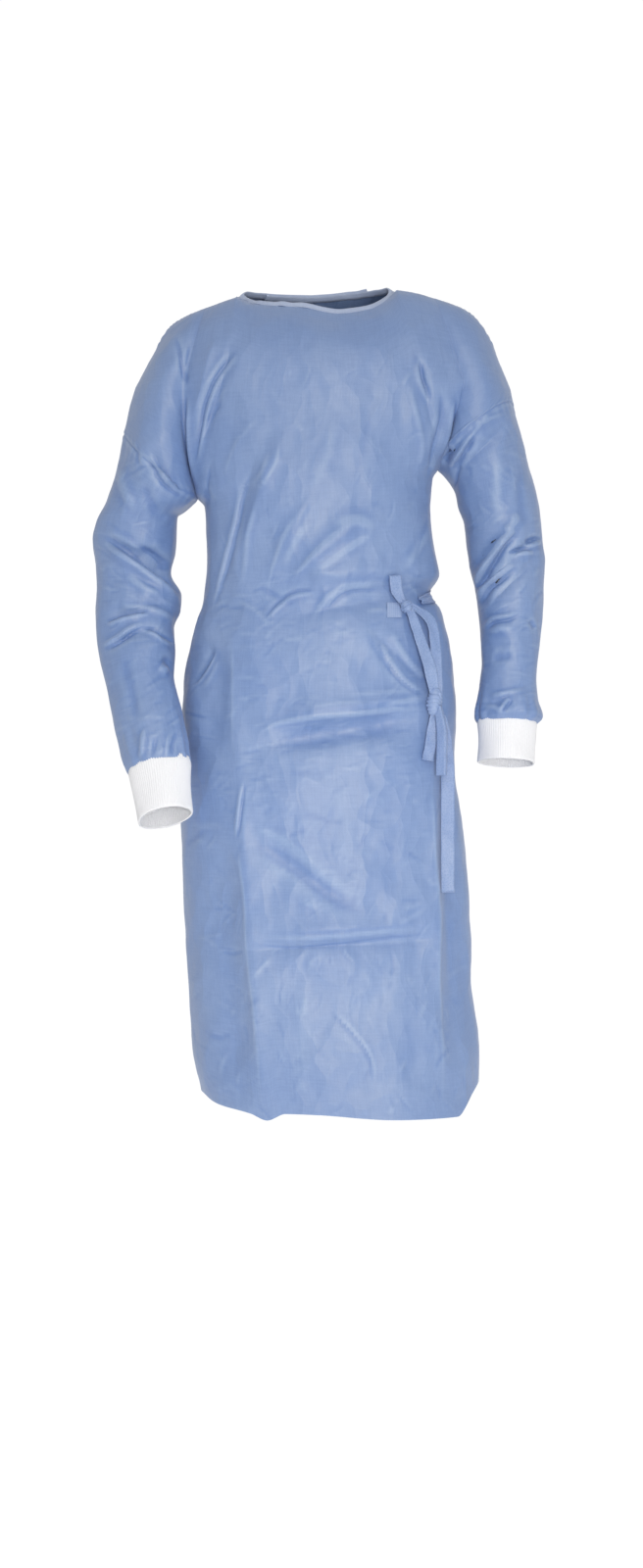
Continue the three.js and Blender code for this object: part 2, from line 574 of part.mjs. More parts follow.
// A sleeve and its cuff. The first ring is the armhole seam, and the last is the cuff's open end.
function sleeve(side) {
  const seamOf = (grid) => {
    const row = side === "right" ? grid.upper[0] : [...grid.upper[0]].reverse();
    return row.slice(0, CAP_COLUMNS + 1);
  };
  const seam = [...seamOf(front), ...seamOf(back).slice(1, -1).reverse()];
  const outward = side === "right" ? 1 : -1;
  let above = [...seam, seam[0]];
  const add = (piece, shape, gather, bow) => {
    const ring = seam.map((unused, i) => {
      const turn = (2 * Math.PI * i) / seam.length;
      const point = onRing(shape, turn, i % 2 ? gather : -gather);
      point.z += bow * Math.abs(Math.sin(turn));
      return pointAt(point);
    });
    const below = [...ring, ring[0]];
    join(piece, below, above, outward);
    above = below;
  };
  for (let row = 1; row <= SLEEVE_ROWS; row++) {
    const share = row / SLEEVE_ROWS;
    const { depth, from, to } = CUFF_GATHERS;
    const gather = row === SLEEVE_ROWS ? 0 : depth * ease(from, to, share);
    add(`sleeve_${side}`, ringAt(side, share), gather, SEAM_BOW[side] * (1 - ease(0, BOW_RINGS, row)));
  }
  const [top, bottom] = [SLEEVE[side].at(-1), CUFF[side]];
  for (let row = 1; row <= CUFF_ROWS; row++) {
    const shape = {};
    for (const name of Object.keys(bottom)) shape[name] = mix(top[name], bottom[name], row / CUFF_ROWS);
    add(`cuff_${side}`, shape, 0, 0);
  }
}

// The mean normal at each point, from the faces round it.
let normals = [];
function findNormals() {
  normals = points.map(() => new THREE.Vector3());
  for (const { corners } of faces) {
    const [a, b, c, d] = corners.map((index) => points[index]);
    const facing = c.clone().sub(a).cross(d.clone().sub(b));
    for (const index of corners) normals[index].add(facing);
  }
  for (const normal of normals) normal.normalize();
}

// Moves every point along its normal by the folds of the side that it faces.
function fold() {
  points.forEach((point, i) => {
    const normal = normals[i];
    const rise =
      foldAt(FRONT_FOLDS, point.x, point.z) * ease(0.05, 0.45, -normal.y) +
      foldAt(BACK_FOLDS, point.x, point.z) * ease(0.05, 0.45, normal.y);
    point.addScaledVector(normal, rise);
  });
}

// A closed wall of even thickness round a surface. spots hold a point and its normal, and faces
// are lists of four spots that run anticlockwise as seen from outside. Open edges are drawn in.
function wall(spots, quads, thickness) {
  const open = new Map();
  for (const quad of quads) {
    quad.forEach((a, k) => {
      const b = quad[(k + 1) % quad.length];
      if (!open.delete(`${b} ${a}`)) open.set(`${a} ${b}`, [a, b]);
    });
  }
  const inward = spots.map(() => new THREE.Vector3());
  for (const quad of quads) {
    quad.forEach((a, k) => {
      const [b, c, d] = [1, 2, 3].map((step) => quad[(k + step) % quad.length]);
      if (!open.has(`${a} ${b}`)) return;
      const along = spots[b].point.clone().sub(spots[a].point).normalize();
      const across = spots[c].point.clone().add(spots[d].point).sub(spots[a].point).sub(spots[b].point);
      const into = across.addScaledVector(along, -across.dot(along)).normalize();
      for (const end of [a, b]) inward[end].add(into);
    });
  }
  const positions = [];
  for (const side of [0.5, -0.5]) {
    spots.forEach(({ point, normal, pull }, i) => {
      const spot = point.clone().addScaledVector(inward[i].normalize(), pull ?? SEAM_PULL);
      positions.push(...spot.addScaledVector(normal, side * thickness));
    });
  }
  const inner = spots.length;
  const triangles = [];
  const split = (a, b, c, d) => triangles.push(a, b, c, a, c, d);
  for (const [a, b, c, d] of quads) {
    split(a, b, c, d);
    split(a + inner, d + inner, c + inner, b + inner);
  }
  for (const [a, b] of open.values()) split(b, a, a + inner, b + inner);
  const geometry = new THREE.BufferGeometry();
  geometry.setAttribute("position", new THREE.Float32BufferAttribute(positions, 3));
  geometry.setIndex(triangles);
  return geometry;
}

// A wall round a grid of points, given as rows that run to the right as seen from outside, the
// first row lowest.
function gridWall(rows, thickness) {
  const width = rows[0].length;
  const at = (r, i) => rows[clamp(r, 0, rows.length - 1)][clamp(i, 0, width - 1)];
  const spots = rows.flatMap((row, r) =>
    row.map((point, i) => {
      const across = at(r, i + 1).clone().sub(at(r, i - 1));
      const along = at(r + 1, i).clone().sub(at(r - 1, i));
      return { point, normal: across.cross(along).normalize() };
    }),
  );
  const quads = [];
  for (let r = 0; r + 1 < rows.length; r++) {
    for (let i = 0; i + 1 < width; i++) {
      const a = r * width + i;
      quads.push([a, a + 1, a + 1 + width, a + width]);
    }
  }
  return wall(spots, quads, thickness);
}

// Starts each face at a corner that its shorter diagonal comes from.
function turnFaces() {
  for (const face of faces) {
    const [a, b, c, d] = face.corners.map((index) => points[index]);
    if (a.distanceTo(c) <= b.distanceTo(d)) continue;
    face.corners.push(face.corners.shift());
    face.columns.push(face.columns.shift());
  }
}

// One piece of the shared surface as a wall. lift moves it off the surface, by column.
function piece(name, thickness, keep = () => true, lift = () => 0) {
  const spots = [];
  const slots = new Map();
  const quads = [];
  for (const { piece: owner, corners, columns } of faces) {
    if (owner !== name || !keep(Math.min(...columns))) continue;
    quads.push(
      corners.map((index, k) => {
        if (!slots.has(index)) {
          const normal = normals[index];
          const point = points[index].clone().addScaledVector(normal, lift(columns[k]));
          const pull = name.startsWith("sleeve") ? sleevePull(point) : SEAM_PULL;
          slots.set(index, spots.push({ point, normal, pull }) - 1);
        }
        return slots.get(index);
      }),
    );
  }
  return wall(spots, quads, thickness);
}

// A sleeve stands further off the body's walls where they all meet under the arm.
function sleevePull(point) {
  const { x, z } = point.x < 0 ? UNDERARM.right : UNDERARM.left;
  const near = 1 - ease(ARMPIT.reach / 2, ARMPIT.reach, point.distanceTo(new THREE.Vector3(x, 0, z)));
  return SEAM_PULL + ARMPIT.pull * near;
}

// How far each back panel is off the form, by column: the right one over, the left one under.
const overLift = (column) => LAP * ease(UNDER_PANEL_START - LAP_EASE, UNDER_PANEL_START, column);
const underLift = (column) => LAP * (ease(OVER_PANEL_END, OVER_PANEL_END + LAP_EASE, column) - 1);

// The neck binding: it starts on the outer back panel's edge, runs round the front and ends on the
// inner back panel's edge.
function neckBinding() {
  const run = (grid, from, to, lift) => {
    const edge = grid.upper.at(-1);
    const step = Math.sign(to - from);
    const cells = [];
    for (let column = from; column !== to + step; column += step) {
      const index = edge[column + CAP_COLUMNS];
      const normal = normals[index];
      cells.push({ start: points[index].clone().addScaledVector(normal, lift(column)), normal });
    }
    return cells;
  };
  const last = (face) => TORSO_COLUMNS[face] - SHOULDER_COLUMNS;
  const cells = [
    ...run(back, OVER_PANEL_END, SHOULDER_COLUMNS, overLift),
    ...run(front, SHOULDER_COLUMNS, last("front"), () => 0).slice(1),
    ...run(back, last("back"), UNDER_PANEL_START, underLift).slice(1),
  ];
  const rises = cells.map(({ normal }, i) => {
    const before = cells[Math.max(i - 1, 0)].start;
    const after = cells[Math.min(i + 1, cells.length - 1)].start;
    const rise = normal.clone().cross(after.clone().sub(before)).normalize();
    return rise.add(new THREE.Vector3(0, 0, BINDING_STAND)).normalize();
  });
  const rows = [0, 0.5, 1].map((share) =>
    cells.map(({ start, normal }, i) =>
      start
        .clone()
        .addScaledVector(rises[i], BINDING_GAP + share * NECK_BAND)
        .addScaledVector(normal, BINDING_CROWN * 4 * share * (1 - share)),
    ),
  );
  return gridWall(rows, BINDING);
}

// The place and normal on the body's cloth at a share across it and a height under the armholes.
function onBody(grid, share, z) {
  const columns = grid.lower[0].length - 1;
  const at = clamp(share, 0, 1) * columns;
  const i = Math.min(Math.floor(at), columns - 1);
  const onColumn = (column) => {
    const line = grid.lower.map((row) => row[column]);
    let row = 0;
    while (row < line.length - 2 && points[line[row + 1]].z < z) row++;
    const [a, b] = [line[row], line[row + 1]];
    const t = clamp((z - points[a].z) / (points[b].z - points[a].z), 0, 1);
    return { point: points[a].clone().lerp(points[b], t), normal: normals[a].clone().lerp(normals[b], t) };
  };
  const [left, right] = [onColumn(i), onColumn(i + 1)];
  const point = left.point.lerp(right.point, at - i);
  return { point, normal: left.normal.lerp(right.normal, at - i).normalize() };
}

// The same for the front, at a place as seen from the front.
function onFront(x, z) {
  let [low, high] = [0, 1];
  for (let k = 0; k < 24; k++) {
    const middle = (low + high) / 2;
    if (onBody(front, middle, z).point.x < x) low = middle;
    else high = middle;
  }
  return onBody(front, low, z);
}

// The tie from the outer back panel's edge round the wearer's left side to the upper knot.
function beltSide() {
  const start = (OVER_PANEL_END - BELT_SEWN_ON) / TORSO_COLUMNS.back;
  const rows = [-0.5, 0, 0.5].map((across) => {
    const row = [];
    for (let k = 0; k <= BELT_STEPS; k++) {
      const way = k / BELT_STEPS;
      const z = read(BELT, "way", way, "z") + across * read(BELT, "way", way, "width");
      const behind = way < BELT_SIDE;
      const share = behind
        ? mix(start, 1, way / BELT_SIDE)
        : mix(1, BELT_END, (way - BELT_SIDE) / (1 - BELT_SIDE));
      const { point, normal } = onBody(behind ? back : front, share, z);
      const overEdge = LAP * (1 - ease(BELT_SIDE / 3, BELT_SIDE / 1.5, way));
      row.push(point.addScaledVector(normal, TIE_LIFT + overEdge + read(BELT, "way", way, "off")));
    }
    return row.reverse();
  });
  return gridWall(rows, RIBBON);
}

// A ribbon along its table, from the top to the bottom. turn is how far its edge towards the
// wearer's left goes back, in degrees.
function ribbon(line) {
  const table = line.map((row, i) => ({ ...row, at: i / (line.length - 1) }));
  const steps = RIBBON_STEPS * (line.length - 1);
  const place = (at) => new THREE.Vector3(...["x", "y", "z"].map((name) => read(table, "at", at, name)));
  const rows = [];
  for (let k = steps; k >= 0; k--) {
    const at = k / steps;
    const direction = place(Math.min(at + 0.02, 1)).sub(place(Math.max(at - 0.02, 0)));
    const turn = read(table, "at", at, "turn") * DEGREE;
    const across = new THREE.Vector3(-direction.z, 0, direction.x).normalize();
    across.multiplyScalar(Math.cos(turn)).add(new THREE.Vector3(0, Math.sin(turn), 0));
    const width = read(table, "at", at, "width");
    rows.push([-0.5, 0, 0.5].map((share) => place(at).addScaledVector(across, share * width)));
  }
  return gridWall(rows, RIBBON);
}

// A patch that lies on the front's cloth, made from the cloth's points moved out.
function patch({ x, z, width, height, lift }) {
  const rows = [-0.5, 0, 0.5].map((up) =>
    [-0.5, 0, 0.5].map((across) => {
      const { point, normal } = onFront(x + across * width, z + up * height);
      return point.addScaledVector(normal, lift);
    }),
  );
  return gridWall(rows, RIBBON);
}

// A knot: a rounded lump with the ribbon's turns as ridges round it. margin makes it larger.
function knot({ x, y, z, width, height, depth, tilt, ridges }, margin = 0) {
  const geometry = new THREE.SphereGeometry(1, KNOT_SIDES, KNOT_SIDES / 2);
  const place = geometry.getAttribute("position");
  const point = new THREE.Vector3();
  for (let i = 0; i < place.count; i++) {
    point.fromBufferAttribute(place, i);
    const ridge = 1 - KNOT_GROOVE * (0.5 + 0.5 * Math.cos(ridges * Math.PI * point.y)) * (1 - point.y ** 2);
    point.multiplyScalar(ridge);
    point.multiply(new THREE.Vector3(width / 2 + margin, height / 2 + margin, depth / 2 + margin));
    place.setXYZ(i, point.x, point.y, point.z);
  }
  geometry.rotateX(RIGHT_ANGLE);
  geometry.rotateY(tilt * DEGREE);
  geometry.translate(x, y, z);
  geometry.deleteAttribute("normal");
  geometry.deleteAttribute("uv");
  return mergeVertices(geometry, 1e-4);
}

// Closed meshes as solids, for cutting, and back.
function solidOf(geometry) {
  const vertProperties = new Float32Array(geometry.getAttribute("position").array);
  const triVerts = new Uint32Array(geometry.getIndex().array);
  return new wasm.Manifold(new wasm.Mesh({ numProp: 3, vertProperties, triVerts }));
}
function geometryOf(solid) {
  const { vertProperties, triVerts } = solid.getMesh();
  const geometry = new THREE.BufferGeometry();
  geometry.setAttribute("position", new THREE.BufferAttribute(vertProperties, 3));
  geometry.setIndex(new THREE.BufferAttribute(triVerts, 1));
  return geometry;
}

// A ribbon without the stretch that a knot holds. Its largest piece is kept.
function outside(geometry, knots) {
  let solid = solidOf(geometry);
  for (const row of knots) solid = solid.subtract(solidOf(knot(row, CLEARANCE)));
  const pieces = solid.decompose().sort((a, b) => b.volume() - a.volume());
  return geometryOf(pieces[0]);
}

const front = body("front");
const back = body("back");
sleeve("right");
sleeve("left");
findNormals();
fold();
findNormals();
turnFaces();

const cloth = new THREE.MeshStandardMaterial({ color: 0x9aaace, roughness: 0.8, metalness: 0 });
const knit = new THREE.MeshStandardMaterial({ color: 0xf2f3f5, roughness: 0.95, metalness: 0 });
const tape = new THREE.MeshStandardMaterial({ color: 0xb7c3df, roughness: 0.75, metalness: 0 });

const gown = new THREE.Group();
gown.name = "surgical_gown";
function add(name, geometry, material) {
  const mesh = new THREE.Mesh(geometry, material);
  mesh.name = name;
  gown.add(mesh);
}

add("front", piece("front", CLOTH), cloth);
add("back_over", piece("back", CLOTH, (column) => column < OVER_PANEL_END, overLift), cloth);
add("back_under", piece("back", CLOTH, (column) => column >= UNDER_PANEL_START, underLift), cloth);
for (const side of ["right", "left"]) {
  add(`sleeve_${side}`, piece(`sleeve_${side}`, CLOTH), cloth);
  add(`cuff_${side}`, piece(`cuff_${side}`, KNIT), knit);
}
add("neck_binding", neckBinding(), tape);
add("belt_side", outside(beltSide(), [KNOTS.upper]), cloth);
add("tie_patch", patch(TIE_PATCH), cloth);
add("knot_upper", knot(KNOTS.upper), cloth);
add("knot_lower", knot(KNOTS.lower), cloth);
for (const [name, line] of Object.entries(RIBBONS)) {
  add(name, outside(ribbon(line), [KNOTS.upper, KNOTS.lower]), cloth);
}

export default gown;
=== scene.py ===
import math
import bpy
import numpy as np
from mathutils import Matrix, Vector


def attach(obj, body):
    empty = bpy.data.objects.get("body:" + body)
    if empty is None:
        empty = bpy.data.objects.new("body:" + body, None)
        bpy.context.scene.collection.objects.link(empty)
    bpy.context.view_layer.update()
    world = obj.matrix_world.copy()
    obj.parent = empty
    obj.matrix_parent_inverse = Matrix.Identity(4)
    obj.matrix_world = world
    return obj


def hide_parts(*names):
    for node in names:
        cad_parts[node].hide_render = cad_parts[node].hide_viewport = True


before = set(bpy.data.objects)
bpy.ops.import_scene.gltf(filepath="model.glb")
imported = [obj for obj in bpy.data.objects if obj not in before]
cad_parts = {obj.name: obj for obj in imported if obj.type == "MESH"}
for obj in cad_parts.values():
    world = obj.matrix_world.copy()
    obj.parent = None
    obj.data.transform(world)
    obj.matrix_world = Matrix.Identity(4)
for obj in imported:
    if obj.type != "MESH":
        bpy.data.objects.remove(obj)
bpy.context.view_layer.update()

MM = 0.001
SEED = 20
IMAGE = (656, 1600)  # pixels of the whole picture
BODY_NAME = "root"


def table(columns, *rows):
    """A table with named columns."""
    return {name: np.array(values, float) for name, values in zip(columns.split(), zip(*rows))}


# Walls, seams and heights of the form, as on the solids.
CHEST_Z = -130
WAIST_Z = -411
TIE_WIDTH = 19
TIE_LIFT = 2.2
LAP = 1.6
NECK_BAND = 8.5
BINDING_STAND = 0.5
BINDING_GAP = 0.2
NECK_SLOPE = math.radians(55)
ARM_BULGE = 4
ARM_DEPTH = 86
ROUNDNESS = 0.78

# Columns and rows of the coarse form, and how many fine cells go in one coarse column.
TORSO_COLUMNS = {"front": 28, "back": 20}
OUTWARD = {"right": 1, "left": -1}  # which way round a sleeve's faces run
SHOULDER_COLUMNS = 5
CAP_COLUMNS = 8
RIDGE = CAP_COLUMNS + SHOULDER_COLUMNS
OVER_PANEL_END = 13
UNDER_PANEL_START = 7
LAP_EASE = 3
SLEEVE_LENGTH_ROWS = 22
BOW_RINGS = 5
FINE = 8
LOWER_ROWS = 236
ARMHOLE_FINE_ROWS = 30
YOKE_FINE_ROWS = 44
SLEEVE_FINE_ROWS = 200
INNER_STEP = 2  # the cloth's inner face has one cell for so many of the outer face each way
# Where the cells lie closer together, at the folded lines: middle, width, and how much closer.
ROW_BANDS = ((-872, 26, 1.6), (-592, 44, 1.2), (-408, 40, 0.7))
COLUMN_BANDS = {"front": ((0.32, 0.045, 0.5), (0.81, 0.04, 0.5)), "back": ()}
CUFF_FINE_ROWS = 34
CUFF_RIBS = 76
CUFF_RIB_CELLS = 6
CUFF_RIB_RISE = 0.3
CUFF_TUCK = 0.1  # share of the cuff's length that lies inside the sleeve's end
CUFF_PULL = 1.4  # how far it is drawn in there
CUFF_EDGE = 0.7  # how far its open edge turns in
CUFF_WAIST = 1.2  # how far its middle is drawn in
CUFF_UNEVEN = (0.7, 0.5)  # how far it is out of round, in large waves and in small ones

UNDERARM = {"right": (-166, -273), "left": (160, -237)}
BODY = table(
    "z right left front back",
    (-1112, -148, 198, 150, 160),
    (-1066, -160, 213, 151, 160),
    (-1017, -170, 215, 152, 158),
    (-938, -176, 206, 151, 154),
    (-842, -182, 202, 149, 150),
    (-714, -187, 193, 145, 146),
    (-650, -188, 184, 143, 145),
    (-540, -187, 181, 137, 143),
    (-475, -174, 176, 129, 130),
    (-443, -164, 168, 122, 119),
    (-427, -157, 161, 118, 112),
    (-408, -154, 147, 116, 106),
    (-381, -153, 161, 121, 117),
    (-350, -153, 156, 125, 124),
    (-300, -153, 152, 128, 128),
    (-287, -154, 151, 128, 129),
    (-273, -166, 151, 128, 130),
    (-252, -172, 152, 128, 131),
    (-237, -174, 160, 128, 131),
    (CHEST_Z, -181, 192, 122, 126),
)
HEM_SIDE = {"right": -1078, "left": -1066}
HEM_RISE = 230  # above the hem, the height at which its waves have run out
HEM_TILT = 40  # above the hem, the height at which the difference between its sides has run out
HEM = {
    "front": table(
        "turn z",
        (-1, -1078), (-0.88, -1089), (-0.63, -1099), (-0.52, -1107), (-0.39, -1098),
        (-0.15, -1099), (0.38, -1106), (0.85, -1107), (1, -1066),
    ),
    "back": table("turn z", (-1, -1078), (-0.5, -1090), (0, -1084), (0.5, -1092), (1, -1066)),
}
ARMHOLE_FOLD = {
    "right": table(
        "z x front back",
        (-273, -166, 0, 0), (-226, -177, 48, 50), (-173, -182, 70, 74), (CHEST_Z, -181, 80, 86),
    ),
    "left": table(
        "z x front back",
        (-237, 160, 0, 0), (-205, 172, 44, 46), (-165, 184, 70, 74), (CHEST_Z, 192, 82, 86),
    ),
}
SHOULDER = {
    "right": table("x z", (-217, -66), (-202, -45), (-180, -31), (-137, -12), (-112, -4)),
    "left": table("x z", (104, 4), (138, -1), (173, -12), (206, -29), (231, -66)),
}
NECK = {
    "front": table(
        "share x y z",
        (0, -112, 2, -4), (0.12, -86, -34, -19), (0.28, -50, -54, -25), (0.42, -20, -61, -28),
        (0.6, 24, -63, -36), (0.78, 65, -52, -29), (0.9, 88, -32, -15), (1, 104, 2, 4),
    ),
    "back": table(
        "share x y z",
        (0, -112, 2, -4), (0.14, -92, 38, 0), (0.32, -48, 64, 0), (0.5, -4, 72, 1),
        (0.68, 42, 64, 4), (0.86, 84, 38, 6), (1, 104, 2, 4),
    ),
}
SLEEVE = {
    "right": table(
        "outerX outerZ innerX innerZ y front back lean",
        (-265, -190, -166, -273, 0, 82, 82, 0),
        (-277, -236, -180, -289, 2, 74, 76, 0),
        (-289, -281, -193, -302, 5, 67, 71, 0),
        (-302, -309, -195, -323, 8, 62, 67, 0),
        (-308, -338, -196, -350, 10, 60, 63, 0),
        (-306, -374, -201, -379, 10, 57, 58, 0),
        (-303, -404, -188, -409, 6, 58, 57, 3),
        (-303, -430, -189, -430, 0, 56, 54, 7),
        (-299, -460, -197, -454, -12, 52, 50, 12),
        (-294, -495, -195, -486, -25, 50, 48, 16),
        (-288, -530, -193, -519, -40, 47, 46, 20),
        (-281, -565, -188, -552, -62, 45, 44, 22),
        (-271, -600, -180, -586, -82, 43, 42, 24),
        (-261, -628, -173, -616, -96, 42, 41, 25),
        (-251, -652, -170, -640, -107, 36, 36, 25),
    ),
    "left": table(
        "outerX outerZ innerX innerZ y front back lean",
        (266, -156, 160, -237, 0, 82, 82, 0),
        (276, -192, 173, -251, 2, 75, 77, 0),
        (284, -232, 184, -269, 4, 70, 72, 0),
        (294, -270, 188, -290, 7, 64, 68, 0),
        (300, -303, 195, -313, 9, 61, 64, 0),
        (303, -337, 197, -340, 10, 58, 60, 0),
        (307, -370, 203, -368, 10, 57, 57, 0),
        (306, -402, 213, -398, 8, 54, 53, 2),
        (304, -434, 217, -430, 3, 51, 49, 4),
        (301, -466, 218, -461, -4, 48, 46, 7),
        (296, -499, 218, -495, -12, 45, 44, 9),
        (294, -530, 216, -526, -19, 43, 42, 10),
        (294, -553, 214, -550, -25, 43, 41, 10),
        (297, -572, 212, -569, -29, 42, 40, 10),
        (291, -584, 213, -583, -31, 36, 36, 10),
    ),
}
SEAM_BOW = {"right": -16, "left": 20}
# The gathers above the cuff: how far the sleeve swells, how high its pleats are, between which
# shares of its length each starts and ends, and how much of the pleats is pressed flat at the end.
SWELL = dict(rise=1.2, starts=(0.86, 0.965), ends=(0.975, 1.0))
GATHER = dict(rise=0.9, starts=(0.78, 0.95), ends=(0.985, 1.0), pressed=0.75)
PLEATS = (11, 17)  # pleats round the sleeve, large and small
CUFF = {
    "right": dict(outerX=-238, outerZ=-716, innerX=-168, innerZ=-702, y=-135, front=32, back=32, lean=25),
    "left": dict(outerX=289, outerZ=-638, innerX=214, innerZ=-635, y=-42, front=34, back=34, lean=10),
}

# The largest folds, which the solids have too: a straight line seen from the front, the fold's
# half width, and how far it rises (+) or sinks (-).
FOLD_ROUND = 0.16  # share of a fold's half width over which its top is rounded
FOLD_END = 0.3  # share of a fold's length over which each end runs out
FOLD_FALL = 1.25  # how steeply a fold falls away from its line
FRONT_FOLDS = table(
    "x1 z1 x2 z2 width rise",
    (-112, -510, -68, -1150, 30, 9),
    (146, -610, 160, -1010, 16, 6),
    (172, -620, 180, -960, 14, -7),
    (-60, -578, 146, -545, 17, 6),
    (-104, -622, 146, -573, 17, -8),
    (-130, -886, 182, -868, 11, -6),
    (-70, -858, 170, -848, 14, 4),
    (-30, -392, 118, -378, 24, 7),
    (-52, -446, 112, -415, 16, -6),
    (60, -455, 150, -536, 9, -5),
    (-46, -196, -112, -372, 14, 6),
    (-78, -212, -140, -420, 12, -5),
    (72, -304, -44, -396, 12, 6),
    (-2, -268, -66, -392, 12, 4),
    (-112, -66, -162, -226, 12, -8),
    (-134, -60, -172, -190, 9, 4),
    (128, -92, 158, -214, 12, -7),
    (-140, -474, -178, -534, 10, -5),
    (-306, -322, -196, -384, 12, -9),
    (-300, -346, -204, -402, 11, 5),
    (-296, -440, -196, -418, 9, -5),
    (-292, -476, -200, -452, 9, -5),
    (-232, -214, -176, -284, 11, -8),
    (216, -404, 302, -322, 11, -8),
    (208, -366, 300, -296, 11, 4),
    (222, -428, 304, -352, 8, -6),
    (180, -250, 262, -178, 11, -8),
    (222, -562, 290, -524, 8, -4),
)
BACK_FOLDS = table(
    "x1 z1 x2 z2 width rise",
    (-60, -376, 140, -376, 22, 7),
    (-96, -110, -150, -250, 13, -7),
    (104, -110, 150, -226, 13, -7),
    (-120, -250, 60, -372, 15, 6),
    (-130, -540, 40, -428, 15, -6),
    (-90, -470, -104, -1120, 30, 9),
    (-14, -480, -22, -1120, 24, -8),
    (56, -470, 66, -1120, 26, 8),
    (-300, -352, -200, -396, 12, -6),
    (208, -392, 300, -350, 12, -6),
)

